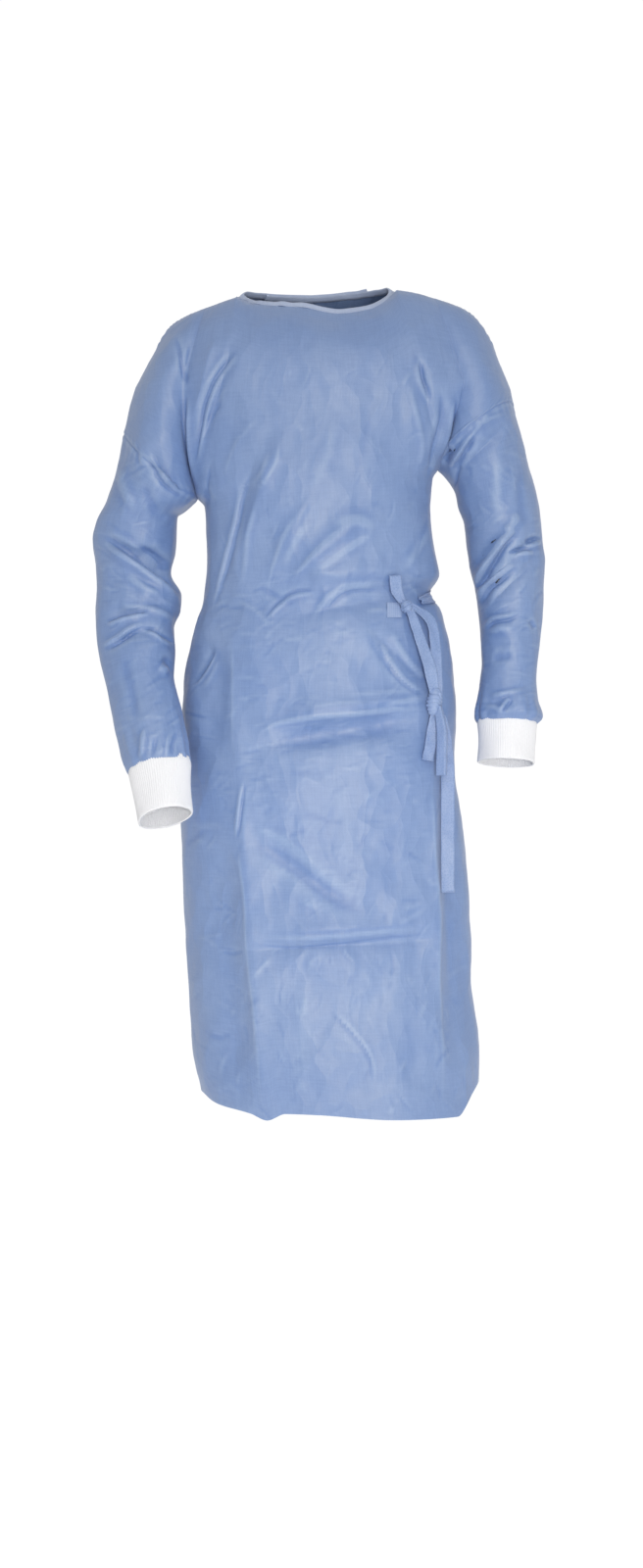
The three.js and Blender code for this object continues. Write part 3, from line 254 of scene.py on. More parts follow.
# Creases finer than the solids' folds, as lines seen from the front. A soft crease is round, a
# sharp one comes to a line, a ledge rises on the left of its line and sinks on the right, and a
# facet falls away on the right of its line.
CREASES = {
    "front": [
        # wearer's right armhole and the hollow beside it
        ("sharp", 3.6, -4.0, [(-192, -66), (-184, -100), (-176, -138)]),
        ("sharp", 3.0, -1.4, [(-173, -76), (-175, -98), (-177, -118)]),
        ("ledge", 6.0, 3.4, [(-178, -140), (-177, -192), (-171, -240), (-163, -274)]),
        (
            "ledge", 5.5, 3.6,
            [(-104, -92), (-122, -110), (-138, -134), (-151, -168), (-158, -205), (-164, -244)],
        ),
        ("soft", 5.0, 1.8, [(-112, -90), (-132, -110), (-148, -136), (-158, -170)]),
        ("sharp", 3.6, -1.8, [(-129, -155), (-141, -170), (-152, -187)]),
        ("sharp", 3.6, -3.4, [(-144, -238), (-148, -268), (-150, -304)]),
        # chest, drawn from the right armhole and the neck down to the waist
        (
            "ledge", 5.0, -2.0,
            [(-92, -250), (-103, -284), (-112, -322), (-126, -376), (-134, -410), (-142, -440)],
        ),
        ("soft", 4.6, 1.6, [(-82, -286), (-95, -334), (-101, -380), (-104, -410)]),
        ("sharp", 3.6, 1.7, [(-52, -214), (-58, -242), (-72, -266), (-86, -282)]),
        ("soft", 4.0, 1.1, [(-66, -224), (-74, -252), (-90, -276)]),
        ("sharp", 4.4, 2.0, [(-26, -308), (-46, -336), (-62, -376), (-70, -410)]),
        ("soft", 5.0, 1.2, [(-14, -318), (-32, -346), (-50, -384)]),
        ("sharp", 4.6, 2.4, [(52, -316), (31, -330), (-2, -357), (-28, -386), (-40, -402)]),
        ("soft", 5.0, 1.8, [(74, -330), (50, -346), (22, -366), (-14, -392)]),
        ("soft", 8.0, 1.8, [(14, -324), (50, -318), (76, -332)]),
        # the waist
        ("ledge", 4.0, -1.8, [(-74, -450), (-57, -430), (-34, -414), (-4, -412)]),
        ("soft", 4.0, 1.8, [(-14, -458), (4, -427), (18, -411), (38, -401), (94, -398)]),
        ("ledge", 4.0, 1.6, [(6, -438), (23, -417), (44, -407), (78, -406)]),
        ("soft", 5.0, -1.6, [(-84, -402), (-58, -416), (-30, -430)]),
        ("sharp", 3.4, 1.0, [(-112, -420), (-84, -436), (-62, -462)]),
        ("soft", 9.0, 1.4, [(24, -176), (8, -236), (-14, -290)]),
        ("soft", 8.0, -1.0, [(70, -150), (58, -220), (40, -284)]),
        ("sharp", 3.6, 0.8, [(-102, -196), (-118, -232), (-126, -262)]),
        # wearer's left armhole and the pocket under it
        ("ledge", 5.5, -3.0, [(131, -100), (134, -128), (146, -160)]),
        ("soft", 6.0, -4.2, [(162, -140), (162, -178), (155, -206), (147, -242)]),
        ("ledge", 5.0, -3.2, [(180, -150), (172, -196), (160, -236)]),
        ("sharp", 3.6, -3.4, [(158, -142), (163, -172), (157, -202), (150, -226), (143, -262)]),
        ("soft", 4.0, 1.6, [(118, -130), (126, -168), (136, -212), (134, -256)]),
        ("sharp", 3.6, -1.4, [(150, -300), (136, -336), (122, -376)]),
        ("soft", 5.0, 1.4, [(146, -322), (128, -356), (112, -384)]),
        ("sharp", 3.4, 1.0, [(112, -392), (126, -408), (140, -418)]),
        # drawn to the knots
        ("ledge", 3.6, 1.6, [(76, -472), (86, -496), (106, -523), (128, -540), (144, -546)]),
        ("sharp", 3.4, -1.2, [(57, -458), (67, -478), (85, -505), (116, -534)]),
        ("soft", 4.0, 1.3, [(92, -462), (116, -500), (146, -530)]),
        ("sharp", 3.6, 1.2, [(100, -442), (80, -436), (58, -440)]),
        # wearer's right hip
        ("ledge", 3.6, 1.9, [(-140, -486), (-154, -511), (-170, -534)]),
        ("sharp", 3.2, -1.6, [(-184, -566), (-168, -573), (-150, -578)]),
        ("soft", 4.0, 1.2, [(-136, -494), (-146, -516), (-160, -540)]),
        # over the hips
        (
            "sharp", 4.0, 3.4,
            [(-88, -608), (-70, -593), (-52, -584), (-12, -577), (36, -573), (86, -568), (136, -560)],
        ),
        ("facet", 18.0, 6.0, [(-90, -604), (-52, -586), (32, -576), (96, -570), (146, -563)]),
        ("soft", 13.0, -2.0, [(-80, -632), (-30, -610), (40, -600), (110, -592), (146, -580)]),
        ("soft", 4.0, 1.4, [(80, -560), (112, -556), (144, -549)]),
        ("sharp", 3.6, 1.0, [(-20, -566), (24, -558), (70, -556)]),
        ("sharp", 3.6, 0.9, [(30, -548), (80, -544), (132, -540)]),
        # packing creases down the skirt
        ("facet", 22.0, 6.0, [(-117, -460), (-116, -510), (-115, -575), (-115, -640)]),
        ("ledge", 3.6, -2.0, [(-99, -660), (-104, -697), (-108, -740)]),
        ("facet", 28.0, 9.0, [(-107, -732), (-99, -819), (-97, -875), (-88, -954), (-75, -1110)]),
        ("sharp", 3.6, 1.2, [(-107, -736), (-99, -819), (-97, -873)]),
        ("soft", 12.0, -4.4, [(-100, -734), (-66, -753), (-34, -773), (18, -813), (66, -836)]),
        ("sharp", 4.0, 1.2, [(-96, -720), (-52, -736), (0, -776)]),
        ("sharp", 3.6, -2.4, [(-97, -875), (-34, -879), (31, -874), (96, -868), (156, -862)]),
        ("soft", 4.0, 1.4, [(-90, -866), (-21, -866), (57, -861), (140, -855)]),
        ("sharp", 3.2, -1.8, [(-138, -886), (-118, -889), (-98, -884)]),
        ("sharp", 3.4, 1.2, [(-90, -924), (-76, -906), (-60, -890)]),
        ("ledge", 4.0, 0.8, [(9, -954), (62, -1015), (72, -1064)]),
        ("facet", 20.0, 8.0, [(166, -1110), (161, -954), (158, -820), (146, -640)]),
        ("sharp", 3.6, 1.4, [(146, -650), (158, -820), (160, -954)]),
        ("soft", 16.0, 1.6, [(20, -640), (34, -720), (30, -790)]),
        ("soft", 18.0, -1.6, [(96, -700), (90, -800), (84, -850)]),
        ("soft", 14.0, 1.6, [(-30, -900), (-20, -990), (-26, -1080)]),
        ("soft", 14.0, -1.6, [(110, -900), (118, -990), (112, -1080)]),
    ],
    "back": [
        ("ledge", 8.0, 4.0, [(-84, -96), (-124, -146), (-146, -204), (-156, -258)]),
        ("sharp", 4.0, -3.4, [(-176, -82), (-178, -130), (-174, -190)]),
        ("ledge", 8.0, -4.0, [(84, -96), (124, -140), (146, -188), (154, -230)]),
        ("sharp", 4.0, -3.2, [(184, -84), (186, -128), (178, -176)]),
        ("soft", 8.0, 4.0, [(-128, -236), (-70, -290), (-6, -340), (40, -376)]),
        ("ledge", 7.0, 3.2, [(-140, -300), (-92, -340), (-40, -378), (10, -398)]),
        ("soft", 7.0, 3.4, [(124, -262), (92, -322), (60, -372)]),
        ("ledge", 7.0, -3.0, [(146, -310), (118, -346), (88, -384)]),
        ("ledge", 7.0, -3.4, [(-144, -520), (-96, -478), (-40, -446), (20, -424)]),
        ("soft", 6.0, -3.0, [(-120, -560), (-64, -512), (-8, -470)]),
        ("ledge", 6.0, 3.0, [(148, -500), (110, -462), (70, -436)]),
        ("sharp", 7.0, 4.4, [(-96, -560), (-100, -700), (-98, -860), (-104, -1090)]),
        ("sharp", 7.0, 4.0, [(104, -580), (108, -740), (112, -880), (108, -1090)]),
        ("sharp", 4.0, -2.6, [(-170, -874), (-60, -880), (60, -872), (170, -878)]),
        ("soft", 12.0, -3.0, [(-40, -640), (-50, -760), (-60, -850)]),
        ("soft", 12.0, 3.0, [(-8, -900), (-14, -990), (-10, -1080)]),
        ("ledge", 9.0, 3.4, [(-150, -610), (-70, -640), (0, -630)]),
        ("soft", 10.0, 2.6, [(60, -640), (70, -740), (58, -840)]),
        ("soft", 9.0, -2.4, [(-20, -130), (-26, -200), (-12, -280)]),
    ],
    "sleeve_right": [
        # the folds under the elbow, from the arm's outer line down to its inner one
        ("ledge", 9.0, -6.0, [(-294, -332), (-250, -362), (-218, -386), (-198, -402), (-186, -420)]),
        ("soft", 6.0, 3.4, [(-292, -322), (-252, -350), (-214, -378)]),
        ("soft", 8.0, -6.0, [(-252, -354), (-224, -358), (-196, -380)]),
        ("soft", 6.0, 3.0, [(-262, -382), (-236, -400), (-206, -414)]),
        ("ledge", 6.0, -3.4, [(-288, -450), (-262, -442), (-224, -434)]),
        ("ledge", 6.0, 3.6, [(-290, -484), (-268, -472), (-250, -460), (-232, -452)]),
        ("soft", 5.0, 2.6, [(-270, -428), (-228, -430), (-204, -440), (-196, -456)]),
        ("ledge", 5.0, -2.4, [(-240, -458), (-222, -462), (-206, -472), (-192, -478)]),
        ("soft", 6.0, -3.4, [(-214, -496), (-198, -504), (-188, -520)]),
        ("soft", 6.0, 2.4, [(-216, -508), (-200, -516)]),
        ("soft", 8.0, -2.2, [(-262, -490), (-250, -540), (-240, -590)]),
        # drawn from the armhole seam
        ("ledge", 6.0, 3.4, [(-226, -206), (-220, -236), (-206, -262), (-182, -280)]),
        ("sharp", 3.4, 1.8, [(-232, -196), (-238, -220), (-234, -246)]),
        ("sharp", 3.4, -1.6, [(-252, -190), (-246, -214), (-240, -244)]),
        ("soft", 7.0, 2.6, [(-272, -230), (-262, -270), (-244, -306)]),
        ("soft", 8.0, -2.6, [(-240, -262), (-226, -290), (-210, -316)]),
        # pleats at the cuff
        ("soft", 3.6, 2.2, [(-206, -612), (-210, -628), (-214, -642)]),
        ("soft", 3.0, -2.0, [(-214, -600), (-218, -622), (-222, -642)]),
        ("soft", 3.0, 2.2, [(-196, -596), (-200, -618), (-202, -638)]),
        ("soft", 2.8, -2.0, [(-188, -594), (-192, -616), (-193, -636)]),
        ("soft", 3.4, 2.0, [(-230, -588), (-234, -616), (-236, -642)]),
    ],
    "sleeve_left": [
        # the elbow folds, from the arm's inner line up to its outer one
        ("ledge", 8.0, 6.4, [(214, -408), (222, -384), (234, -362), (252, -338), (268, -322)]),
        ("soft", 6.0, 3.4, [(246, -330), (258, -316), (268, -300)]),
        ("ledge", 5.0, -3.6, [(252, -358), (272, -352), (290, -350)]),
        ("ledge", 5.0, -3.4, [(276, -344), (290, -338), (300, -334)]),
        ("ledge", 7.0, 4.4, [(216, -426), (226, -402), (244, -388), (266, -370)]),
        ("soft", 6.0, 3.0, [(226, -390), (242, -374), (262, -360)]),
        # the forearm
        ("ledge", 5.0, 2.8, [(222, -456), (234, -446), (254, -442), (268, -436)]),
        ("soft", 4.0, -2.4, [(282, -444), (292, -456)]),
        ("soft", 5.0, 2.4, [(226, -462), (244, -456), (262, -458)]),
        ("soft", 6.0, -1.8, [(228, -496), (262, -492)]),
        ("soft", 4.0, 2.4, [(224, -548), (246, -544), (276, -538)]),
        ("ledge", 4.0, -2.4, [(256, -550), (242, -568)]),
        ("soft", 4.0, 2.0, [(218, -566), (232, -562), (246, -570)]),
        # under the armhole seam
        ("sharp", 3.4, 2.6, [(252, -168), (218, -182), (202, -200), (184, -222), (170, -240)]),
        ("ledge", 6.0, -4.6, [(206, -196), (190, -222), (178, -240)]),
        ("soft", 7.0, -6.0, [(176, -212), (168, -232)]),
        ("sharp", 3.6, -3.6, [(192, -228), (186, -250), (182, -270)]),
        ("soft", 5.0, 2.8, [(200, -214), (182, -232)]),
        ("soft", 10.0, 2.2, [(240, -216), (236, -280), (244, -320)]),
        ("soft", 9.0, -2.0, [(270, -226), (272, -290), (282, -330)]),
    ],
    "sleeve_back": [
        ("ledge", 8.0, 5.0, [(-296, -340), (-254, -366), (-214, -392)]),
        ("soft", 7.0, 3.0, [(-290, -318), (-250, -340), (-212, -366)]),
        ("ledge", 6.0, -3.4, [(-286, -470), (-250, -458), (-212, -446)]),
        ("ledge", 6.0, 3.2, [(-238, -208), (-222, -244), (-198, -280)]),
        ("soft", 6.0, -2.6, [(-268, -236), (-252, -284), (-230, -320)]),
        ("soft", 5.0, 2.4, [(-260, -540), (-236, -556), (-206, -560)]),
        ("ledge", 8.0, -5.0, [(218, -402), (250, -372), (290, -350)]),
        ("soft", 7.0, 3.0, [(212, -366), (250, -344), (288, -330)]),
        ("ledge", 6.0, 3.4, [(224, -450), (256, -462), (290, -476)]),
        ("ledge", 6.0, -3.2, [(244, -176), (220, -210), (190, -246)]),
        ("soft", 6.0, 2.6, [(268, -210), (256, -262), (240, -300)]),
        ("soft", 5.0, -2.2, [(222, -540), (250, -532), (284, -546)]),
    ],
}
ARM_CREASES = 1.3  # how much deeper the front creases of the sleeves are than in their table
CREASE_END = 0.34  # share of a crease's length over which each end runs out
CREASE_REACH = 3.2  # half widths at which a crease is over

# Soft unevenness of the cloth: size of the waves, how far they move it, and how many are summed.
CRUMPLE = ((150, 1.4, 14), (60, 0.5, 18), (24, 0.13, 22), (11, 0.03, 22))

# Small creases strewn over a region: its box, how many, how they lie (degrees from level) and how
# far that varies.
SMALL_CREASES = {
    "front": table(
        "x1 z1 x2 z2 count lean swing",
        (-130, -400, 140, -110, 60, 68, 60),
        (-140, -480, 140, -384, 70, 12, 28),
        (-110, -560, 150, -480, 36, 20, 40),
        (-110, -660, 150, -548, 90, 6, 14),
        (-110, -860, 150, -660, 90, 20, 60),
        (-130, -1100, 190, -880, 90, 80, 60),
        (-188, -1080, -112, -480, 60, 10, 50),
        (150, -1080, 210, -560, 40, 80, 40),
    ),
    "back": table(
        "x1 z1 x2 z2 count lean swing",
        (-150, -400, 150, -110, 70, 70, 60),
        (-160, -480, 160, -384, 70, 10, 30),
        (-180, -860, 180, -480, 120, 40, 60),
        (-180, -1100, 200, -860, 90, 75, 50),
    ),
    "sleeves": table(
        "x1 z1 x2 z2 count lean swing",
        (-300, -330, -180, -200, 40, 40, 40),
        (-306, -430, -196, -320, 50, -22, 24),
        (-300, -630, -180, -430, 70, 18, 26),
        (170, -300, 296, -170, 40, -40, 40),
        (200, -440, 304, -300, 50, 38, 24),
        (214, -580, 300, -440, 50, 10, 24),
    ),
}
SMALL_LENGTH = (12, 44)
SMALL_WIDTH = (2.2, 3.6)
SMALL_RISE = (0.15, 0.5)
SMALL_BEND = 0.25  # how far a small crease bends, as a share of half its length
LEDGE_SHARE = 0.5  # how high a small ledge is against the other small creases
WAVE_SIZES = (0.7, 1.5)  # the smallest and the largest wave of the unevenness, against its size
FACING = (0.05, 0.45)  # how far a face has to turn to the front or the back to take its creases

# How much calmer the cloth lies where it is drawn in, and from which share of the sleeve's rows
# and of the yoke's rows.
CALMER = 0.9
CALM_SLEEVE = 0.955
CALM_YOKE = 0.8

# Beside a seam: a groove, a low ridge along it, and a pucker, each with its height and reach.
GROOVE = dict(depth=0.7, reach=2.2)
SEAM_RIDGE = dict(rise=0.5, away=4, reach=2.6)
PUCKER = dict(rise=0.6, reach=9, begins=2, waves=1.35)

# The waist tie, and the ribbons and knots at the wearer's left front.
BELT = table(
    "way z width off",
    (0, -401, TIE_WIDTH, 0),
    (0.4, -404, TIE_WIDTH, 0),
    (0.72, -411, TIE_WIDTH - 2, 0),
    (0.88, -418, 12, 2),
    (1, -425, 8, 7),
)
BELT_SIDE = 0.7
BELT_END = 0.8
BELT_SEWN_ON = 0.6
KNOTS = {
    "knot_upper": dict(x=115, z=-430, y=-103, width=17, height=17, depth=14, tilt=-35, bands=3),
    "knot_lower": dict(x=152, z=-556, y=-104, width=20, height=38, depth=15, tilt=8, bands=5),
}
TIE_PATCH = dict(x=98.5, z=-435, width=19, height=20, lift=2.2)
RIBBONS = {
    "tie_tab": table(
        "x y z width turn",
        (100, -108, -389, 18, 28), (102, -105, -408, 17, 28), (111, -101, -426, 9, 20),
    ),
    "tie_fall_front": table(
        "x y z width turn",
        (117, -102, -429, 9, 25), (123, -106, -444, 13, 25), (135, -109, -478, 16, 28),
        (147, -110, -516, 18, 25), (152, -105, -545, 13, 20),
    ),
    "tie_fall_back": table(
        "x y z width turn",
        (119, -97, -427, 8, 30), (134, -92, -436, 12, 35), (149, -92, -451, 17, 38),
        (154, -95, -484, 17, 34), (157, -96, -545, 13, 20),
    ),
    "tie_tail_left": table(
        "x y z width turn",
        (153, -102, -566, 9, 10), (149, -104, -598, 15, 15), (143, -109, -634, 16, 22),
    ),
    "tie_loop": table(
        "x y z width turn",
        (156, -103, -562, 9, 10), (161, -107, -600, 13, 15), (160, -108, -654, 13, 20),
    ),
    "tie_tail_long": table(
        "x y z width turn",
        (158, -95, -562, 8, 0), (167, -97, -600, 14, 0), (170, -97, -660, 18, 0),
        (170, -98, -735, 18, 5), (170, -101, -809, 18, 15),
    ),
}

CLOTH_WALL = 0.8
KNIT_WALL = 1.9
BINDING_WALL = 0.35
RIBBON_WALL = 0.7


def mix(a, b, share):
    return a + (b - a) * share


def ease(start, end, at):
    t = np.clip((at - start) / (end - start), 0, 1)
    return t * t * (3 - 2 * t)


def read(rows, by, at, name):
    """One column of a table, on a smooth curve through its rows that never overshoots them."""
    keys, values = rows[by], rows[name]
    if keys[0] > keys[-1]:
        keys, values = keys[::-1], values[::-1]
    rises = np.diff(values) / np.diff(keys)
    before, after = rises[:-1], rises[1:]
    same = before * after > 0
    inner = np.where(same, 2 * before * after / np.where(same, before + after, 1), 0)
    slopes = np.concatenate([rises[:1], inner, rises[-1:]])
    at = np.clip(at, keys[0], keys[-1])
    i = np.clip(np.searchsorted(keys, at) - 1, 0, len(keys) - 2)
    span = keys[i + 1] - keys[i]
    t = (at - keys[i]) / span
    start, end = values[i] * (1 + 2 * t) * (1 - t) ** 2, values[i + 1] * t * t * (3 - 2 * t)
    return start + end + span * (slopes[i] * t * (1 - t) ** 2 - slopes[i + 1] * t * t * (1 - t))


def stack(x, y, z):
    return np.stack(np.broadcast_arrays(x, y, z), axis=-1)


def unit(vectors):
    return vectors / np.maximum(np.linalg.norm(vectors, axis=-1, keepdims=True), 1e-9)


def spread(start, end, count, bands):
    """Places from start to end, closer together in the bands."""
    at = np.linspace(start, end, 900)
    density = np.ones(len(at))
    for middle, width, more in bands:
        density += more * np.exp(-(((at - middle) / width) ** 2))
    total = np.concatenate([[0], np.cumsum((density[1:] + density[:-1]) / 2)])
    return np.interp(np.linspace(0, total[-1], count + 1), total, at)


TORSO_SHARES = {
    face: spread(0, 1, columns * FINE, COLUMN_BANDS[face]) for face, columns in TORSO_COLUMNS.items()
}


# The form, as grids of points whose rows run up and whose columns run from the wearer's right.
def across_body(face, share, right, left, drop=0):
    """Points across the body between its two ends, which are the sides or the armhole folds."""
    away = -1 if face == "front" else 1

    def turn_of(end):
        reach = read(BODY, "z", end["z"], face)
        return np.arccos(np.clip(end[face] / reach, 0, 1) ** (1 / ROUNDNESS))

    turn_right, turn_left = -turn_of(right), turn_of(left)
    turn = mix(turn_right, turn_left, share)
    half = (left["x"] - right["x"]) / (np.sin(turn_left) - np.sin(turn_right))
    x = right["x"] + half * (np.sin(turn) - np.sin(turn_right))
    z = mix(right["z"], left["z"], (x - right["x"]) / (left["x"] - right["x"])) + drop
    y = away * read(BODY, "z", z, face) * np.maximum(np.cos(turn), 0) ** ROUNDNESS
    return stack(x, y, z)


def lower_grid(face):
    """The body from the hem to the underarms."""
    middle = spread(HEM_SIDE["right"], UNDERARM["right"][1], LOWER_ROWS, ROW_BANDS)[:, None]
    tilt = ease(WAIST_Z, UNDERARM["right"][1], middle) * (UNDERARM["left"][1] - UNDERARM["right"][1])
    near_hem = 1 - ease(0, HEM_TILT, middle - HEM_SIDE["right"])
    tilt = tilt + (HEM_SIDE["left"] - HEM_SIDE["right"]) * near_hem
    right = dict(x=read(BODY, "z", middle, "right"), z=middle, front=0, back=0)
    left = dict(x=read(BODY, "z", middle + tilt, "left"), z=middle + tilt, front=0, back=0)
    share = TORSO_SHARES[face][None, :]
    turn = np.sin(mix(-math.pi / 2, math.pi / 2, share))
    level = mix(HEM_SIDE["right"], HEM_SIDE["left"], (1 + turn) / 2)
    fade = 1 - ease(HEM_SIDE["right"], HEM_SIDE["right"] + HEM_RISE, middle)
    drop = (read(HEM[face], "turn", turn, "z") - level) * fade
    return across_body(face, share, right, left, drop)


def armhole_ends(side, share):
    """The arm's outer line and the armhole fold, from the underarm to the chest line."""
    seam, shoulder = SLEEVE[side], SHOULDER[side]
    end = 0 if side == "right" else -1
    top_x, top_z = shoulder["x"][end], shoulder["z"][end]
    fold_z = mix(UNDERARM[side][1], CHEST_Z, share)
    fold = {name: read(ARMHOLE_FOLD[side], "z", fold_z, name) for name in ("x", "front", "back")}
    fold["z"] = fold_z
    outer_x, outer_z = seam["outerX"][0], seam["outerZ"][0]
    level = (CHEST_Z - outer_z) / (top_z - outer_z)
    outer = dict(
        x=mix(outer_x, top_x, level * share) + np.sign(outer_x) * ARM_BULGE * share,
        z=mix(outer_z, CHEST_Z, share),
    )
    return outer, fold, mix(seam["front"][0], ARM_DEPTH, share)


def on_cap(face, share, outer, fold, reach):
    """Points on the cap over an upper arm, from the arm's outer line to the armhole fold."""
    away = -1 if face == "front" else 1
    end = math.pi - np.arcsin(np.clip(fold[face] / reach, 0, 1))
    turn = end * share
    half = (fold["x"] - outer["x"]) / (1 - np.cos(end))
    x = outer["x"] + half * (1 - np.cos(turn))
    z = mix(outer["z"], fold["z"], (x - outer["x"]) / (fold["x"] - outer["x"]))
    return stack(x, away * reach * np.sin(turn), z)


def armhole_grid(face):
    """From one arm's outer line to the other's, and from the underarms to the chest line."""
    share = np.linspace(0, 1, ARMHOLE_FINE_ROWS + 1)[:, None]
    cells = CAP_COLUMNS * FINE
    step = np.arange(cells)[None, :] / cells
    caps, folds = {}, {}
    for side in ("right", "left"):
        outer, folds[side], reach = armhole_ends(side, share)
        cap = on_cap(face, step, outer, folds[side], reach)
        cap[..., 2] += SEAM_BOW[side] * np.sin(math.pi * step) * (1 - share)
        caps[side] = cap
    middle = across_body(face, TORSO_SHARES[face][None, :], folds["right"], folds["left"])
    return np.concatenate([caps["right"], middle, caps["left"][:, ::-1]], axis=1)


def yoke_grid(face, chest):
    """From the chest line over to the shoulder seams and the neck."""
    last = len(chest) - 1
    ridge = RIDGE * FINE
    i = np.arange(last + 1)
    share = np.clip((i - ridge) / (last - 2 * ridge), 0, 1)
    neck = np.sin(math.pi * share)
    top = stack(*(read(NECK[face], "share", share, name) for name in "xyz"))
    for side in ("right", "left"):
        step = (i if side == "right" else last - i) / ridge
        line = SHOULDER[side]["x"]
        outer, inner = (line[0], line[-1]) if side == "right" else (line[-1], line[0])
        x = mix(outer, inner, step)
        seam = stack(x, 2 * step, read(SHOULDER[side], "x", x, "z"))
        top = np.where((step <= 1)[:, None], seam, top)
    end = mix(math.pi / 2, NECK_SLOPE, neck)
    turn = end * np.linspace(0, 1, YOKE_FINE_ROWS + 1)[:, None]
    up = (np.sin(turn) / np.sin(end))[..., None]
    over = ((1 - np.cos(turn)) / (1 - np.cos(end)))[..., None]
    raised, drawn_in = (mix(chest[None], top[None], share) for share in (up, over))
    return stack(raised[..., 0], drawn_in[..., 1], raised[..., 2])


def on_ring(ring, turn, grow=0):
    """Points on a sleeve's ring. turn 0 is the outer line, a quarter turn the front."""
    width = np.abs(ring["innerX"] - ring["outerX"])
    across = 0.5 - np.cos(turn) * (0.5 + grow / width)
    reach = np.sin(turn) * (np.where(turn <= math.pi, ring["front"], ring["back"]) + grow)
    lean = np.radians(ring["lean"])
    x = mix(ring["outerX"], ring["innerX"], across)
    z = mix(ring["outerZ"], ring["innerZ"], across) + reach * np.sin(lean)
    return stack(x, ring["y"] - reach * np.cos(lean), z)


def sleeve_rings(side):
    """The sleeve's rings below its seam, from the top, with the gathers at the cuff."""
    rows = dict(SLEEVE[side])
    rows["at"] = np.linspace(0, 1, len(rows["y"]))
    share = (np.arange(1, SLEEVE_FINE_ROWS + 1) / SLEEVE_FINE_ROWS)[:, None]
    ring = {name: read(rows, "at", share, name) for name in CUFF[side]}
    count = 2 * CAP_COLUMNS * FINE
    turn = (2 * math.pi * np.arange(count) / count)[None, :]
    pleats = np.sin(PLEATS[0] * turn + 1.3 * np.sin(2 * turn)) + 0.6 * np.sin(PLEATS[1] * turn + 2)
    swell = SWELL["rise"] * ease(*SWELL["starts"], share) * (1 - ease(*SWELL["ends"], share))
    pressed = 1 - GATHER["pressed"] * ease(*GATHER["ends"], share)
    gather = GATHER["rise"] * pleats * ease(*GATHER["starts"], share) * pressed
    points = on_ring(ring, turn, swell + gather)
    bow = SEAM_BOW[side] * (1 - ease(0, BOW_RINGS, share * SLEEVE_LENGTH_ROWS))
    points[..., 2] += bow * np.abs(np.sin(turn))
    return points


def cuff_rings(side):
    """The cuff's rings, from just inside the sleeve's end down to its soft open edge."""
    top, bottom = SLEEVE[side], CUFF[side]
    share = np.linspace(-CUFF_TUCK, 1, CUFF_FINE_ROWS + 1)[:, None]
    ring = {name: mix(top[name][-1], bottom[name], share) for name in bottom}
    count = CUFF_RIBS * CUFF_RIB_CELLS
    turn = (2 * math.pi * np.arange(count) / count)[None, :]
    ribs = CUFF_RIB_RISE * np.cos(CUFF_RIBS * turn)
    pull = -CUFF_PULL * (1 - ease(-CUFF_TUCK, 0.05, share)) - CUFF_EDGE * ease(0.95, 1, share) ** 2
    waist = -CUFF_WAIST * np.sin(math.pi * np.clip(share, 0, 1))
    large, small = CUFF_UNEVEN
    soft = large * np.sin(3 * turn + 4 * share) + small * np.sin(5 * turn - 3 * share + 1)
    return on_ring(ring, turn, ribs + pull + waist + soft)


# The whole surface as one array of points, and index grids into it that share their seams.
chunks = []


def place(grid):
    """Adds a grid of points and gives the index grid."""
    start = sum(len(chunk) for chunk in chunks)
    chunks.append(grid.reshape(-1, 3))
    return start + np.arange(grid.shape[0] * grid.shape[1]).reshape(grid.shape[:2])


def body(face, other=None):
    """The front or back: index grids below and above the underarms."""
    lower = place(lower_grid(face))
    armhole = armhole_grid(face)
    upper = place(np.concatenate([armhole, yoke_grid(face, armhole[-1])[1:]]))
    if other:
        ridge = RIDGE * FINE + 1
        lower[:, 0], lower[:, -1] = other[0][:, 0], other[0][:, -1]
        upper[:, 0], upper[:, -1] = other[1][:, 0], other[1][:, -1]
        upper[-1, :ridge], upper[-1, -ridge:] = other[1][-1, :ridge], other[1][-1, -ridge:]
        cap = CAP_COLUMNS * FINE
        upper[0, cap], upper[0, -cap - 1] = other[1][0, cap], other[1][0, -cap - 1]
    cap = CAP_COLUMNS * FINE
    lower[-1] = upper[0, cap : cap + TORSO_COLUMNS[face] * FINE + 1]
    return lower, upper


def closed(rings):
    """Rings whose first column is repeated at their end."""
    return np.concatenate([rings, rings[:, :1]], axis=1)


def sleeve(side):
    """The index grid of a sleeve, with rows from the top."""
    cap = CAP_COLUMNS * FINE
    rows = [grid[0] if side == "right" else grid[0][::-1] for grid in (front[1], back[1])]
    seam = np.concatenate([rows[0][: cap + 1], rows[1][1:cap][::-1]])
    return closed(np.concatenate([seam[None], place(sleeve_rings(side))]))


def quads_of(grid, outward):
    """Faces of an index grid whose rows run up, anticlockwise as seen from outside."""
    corners = [grid[:-1, :-1], grid[:-1, 1:], grid[1:, 1:], grid[1:, :-1]]
    if outward < 0:
        corners.reverse()
    return np.stack([corner.ravel() for corner in corners], axis=1)


front = body("front")
back = body("back", front)
sleeves = {side: sleeve(side) for side in ("right", "left")}
points = np.concatenate(chunks)

cloth_quads = {
    "front": np.concatenate([quads_of(grid, 1) for grid in front]),
    "back": np.concatenate([quads_of(grid, -1) for grid in back]),
}
for side, grid in sleeves.items():
    cloth_quads[f"sleeve_{side}"] = quads_of(grid[::-1], OUTWARD[side])


def normals_of(places, quads):
    """The mean normal at each point, from the faces round it."""
    a, b, c, d = (places[quads[:, k]] for k in range(4))
    facing = np.cross(c - a, d - b)
    total = np.zeros_like(places)
    for k in range(4):
        np.add.at(total, quads[:, k], facing)
    return unit(total)


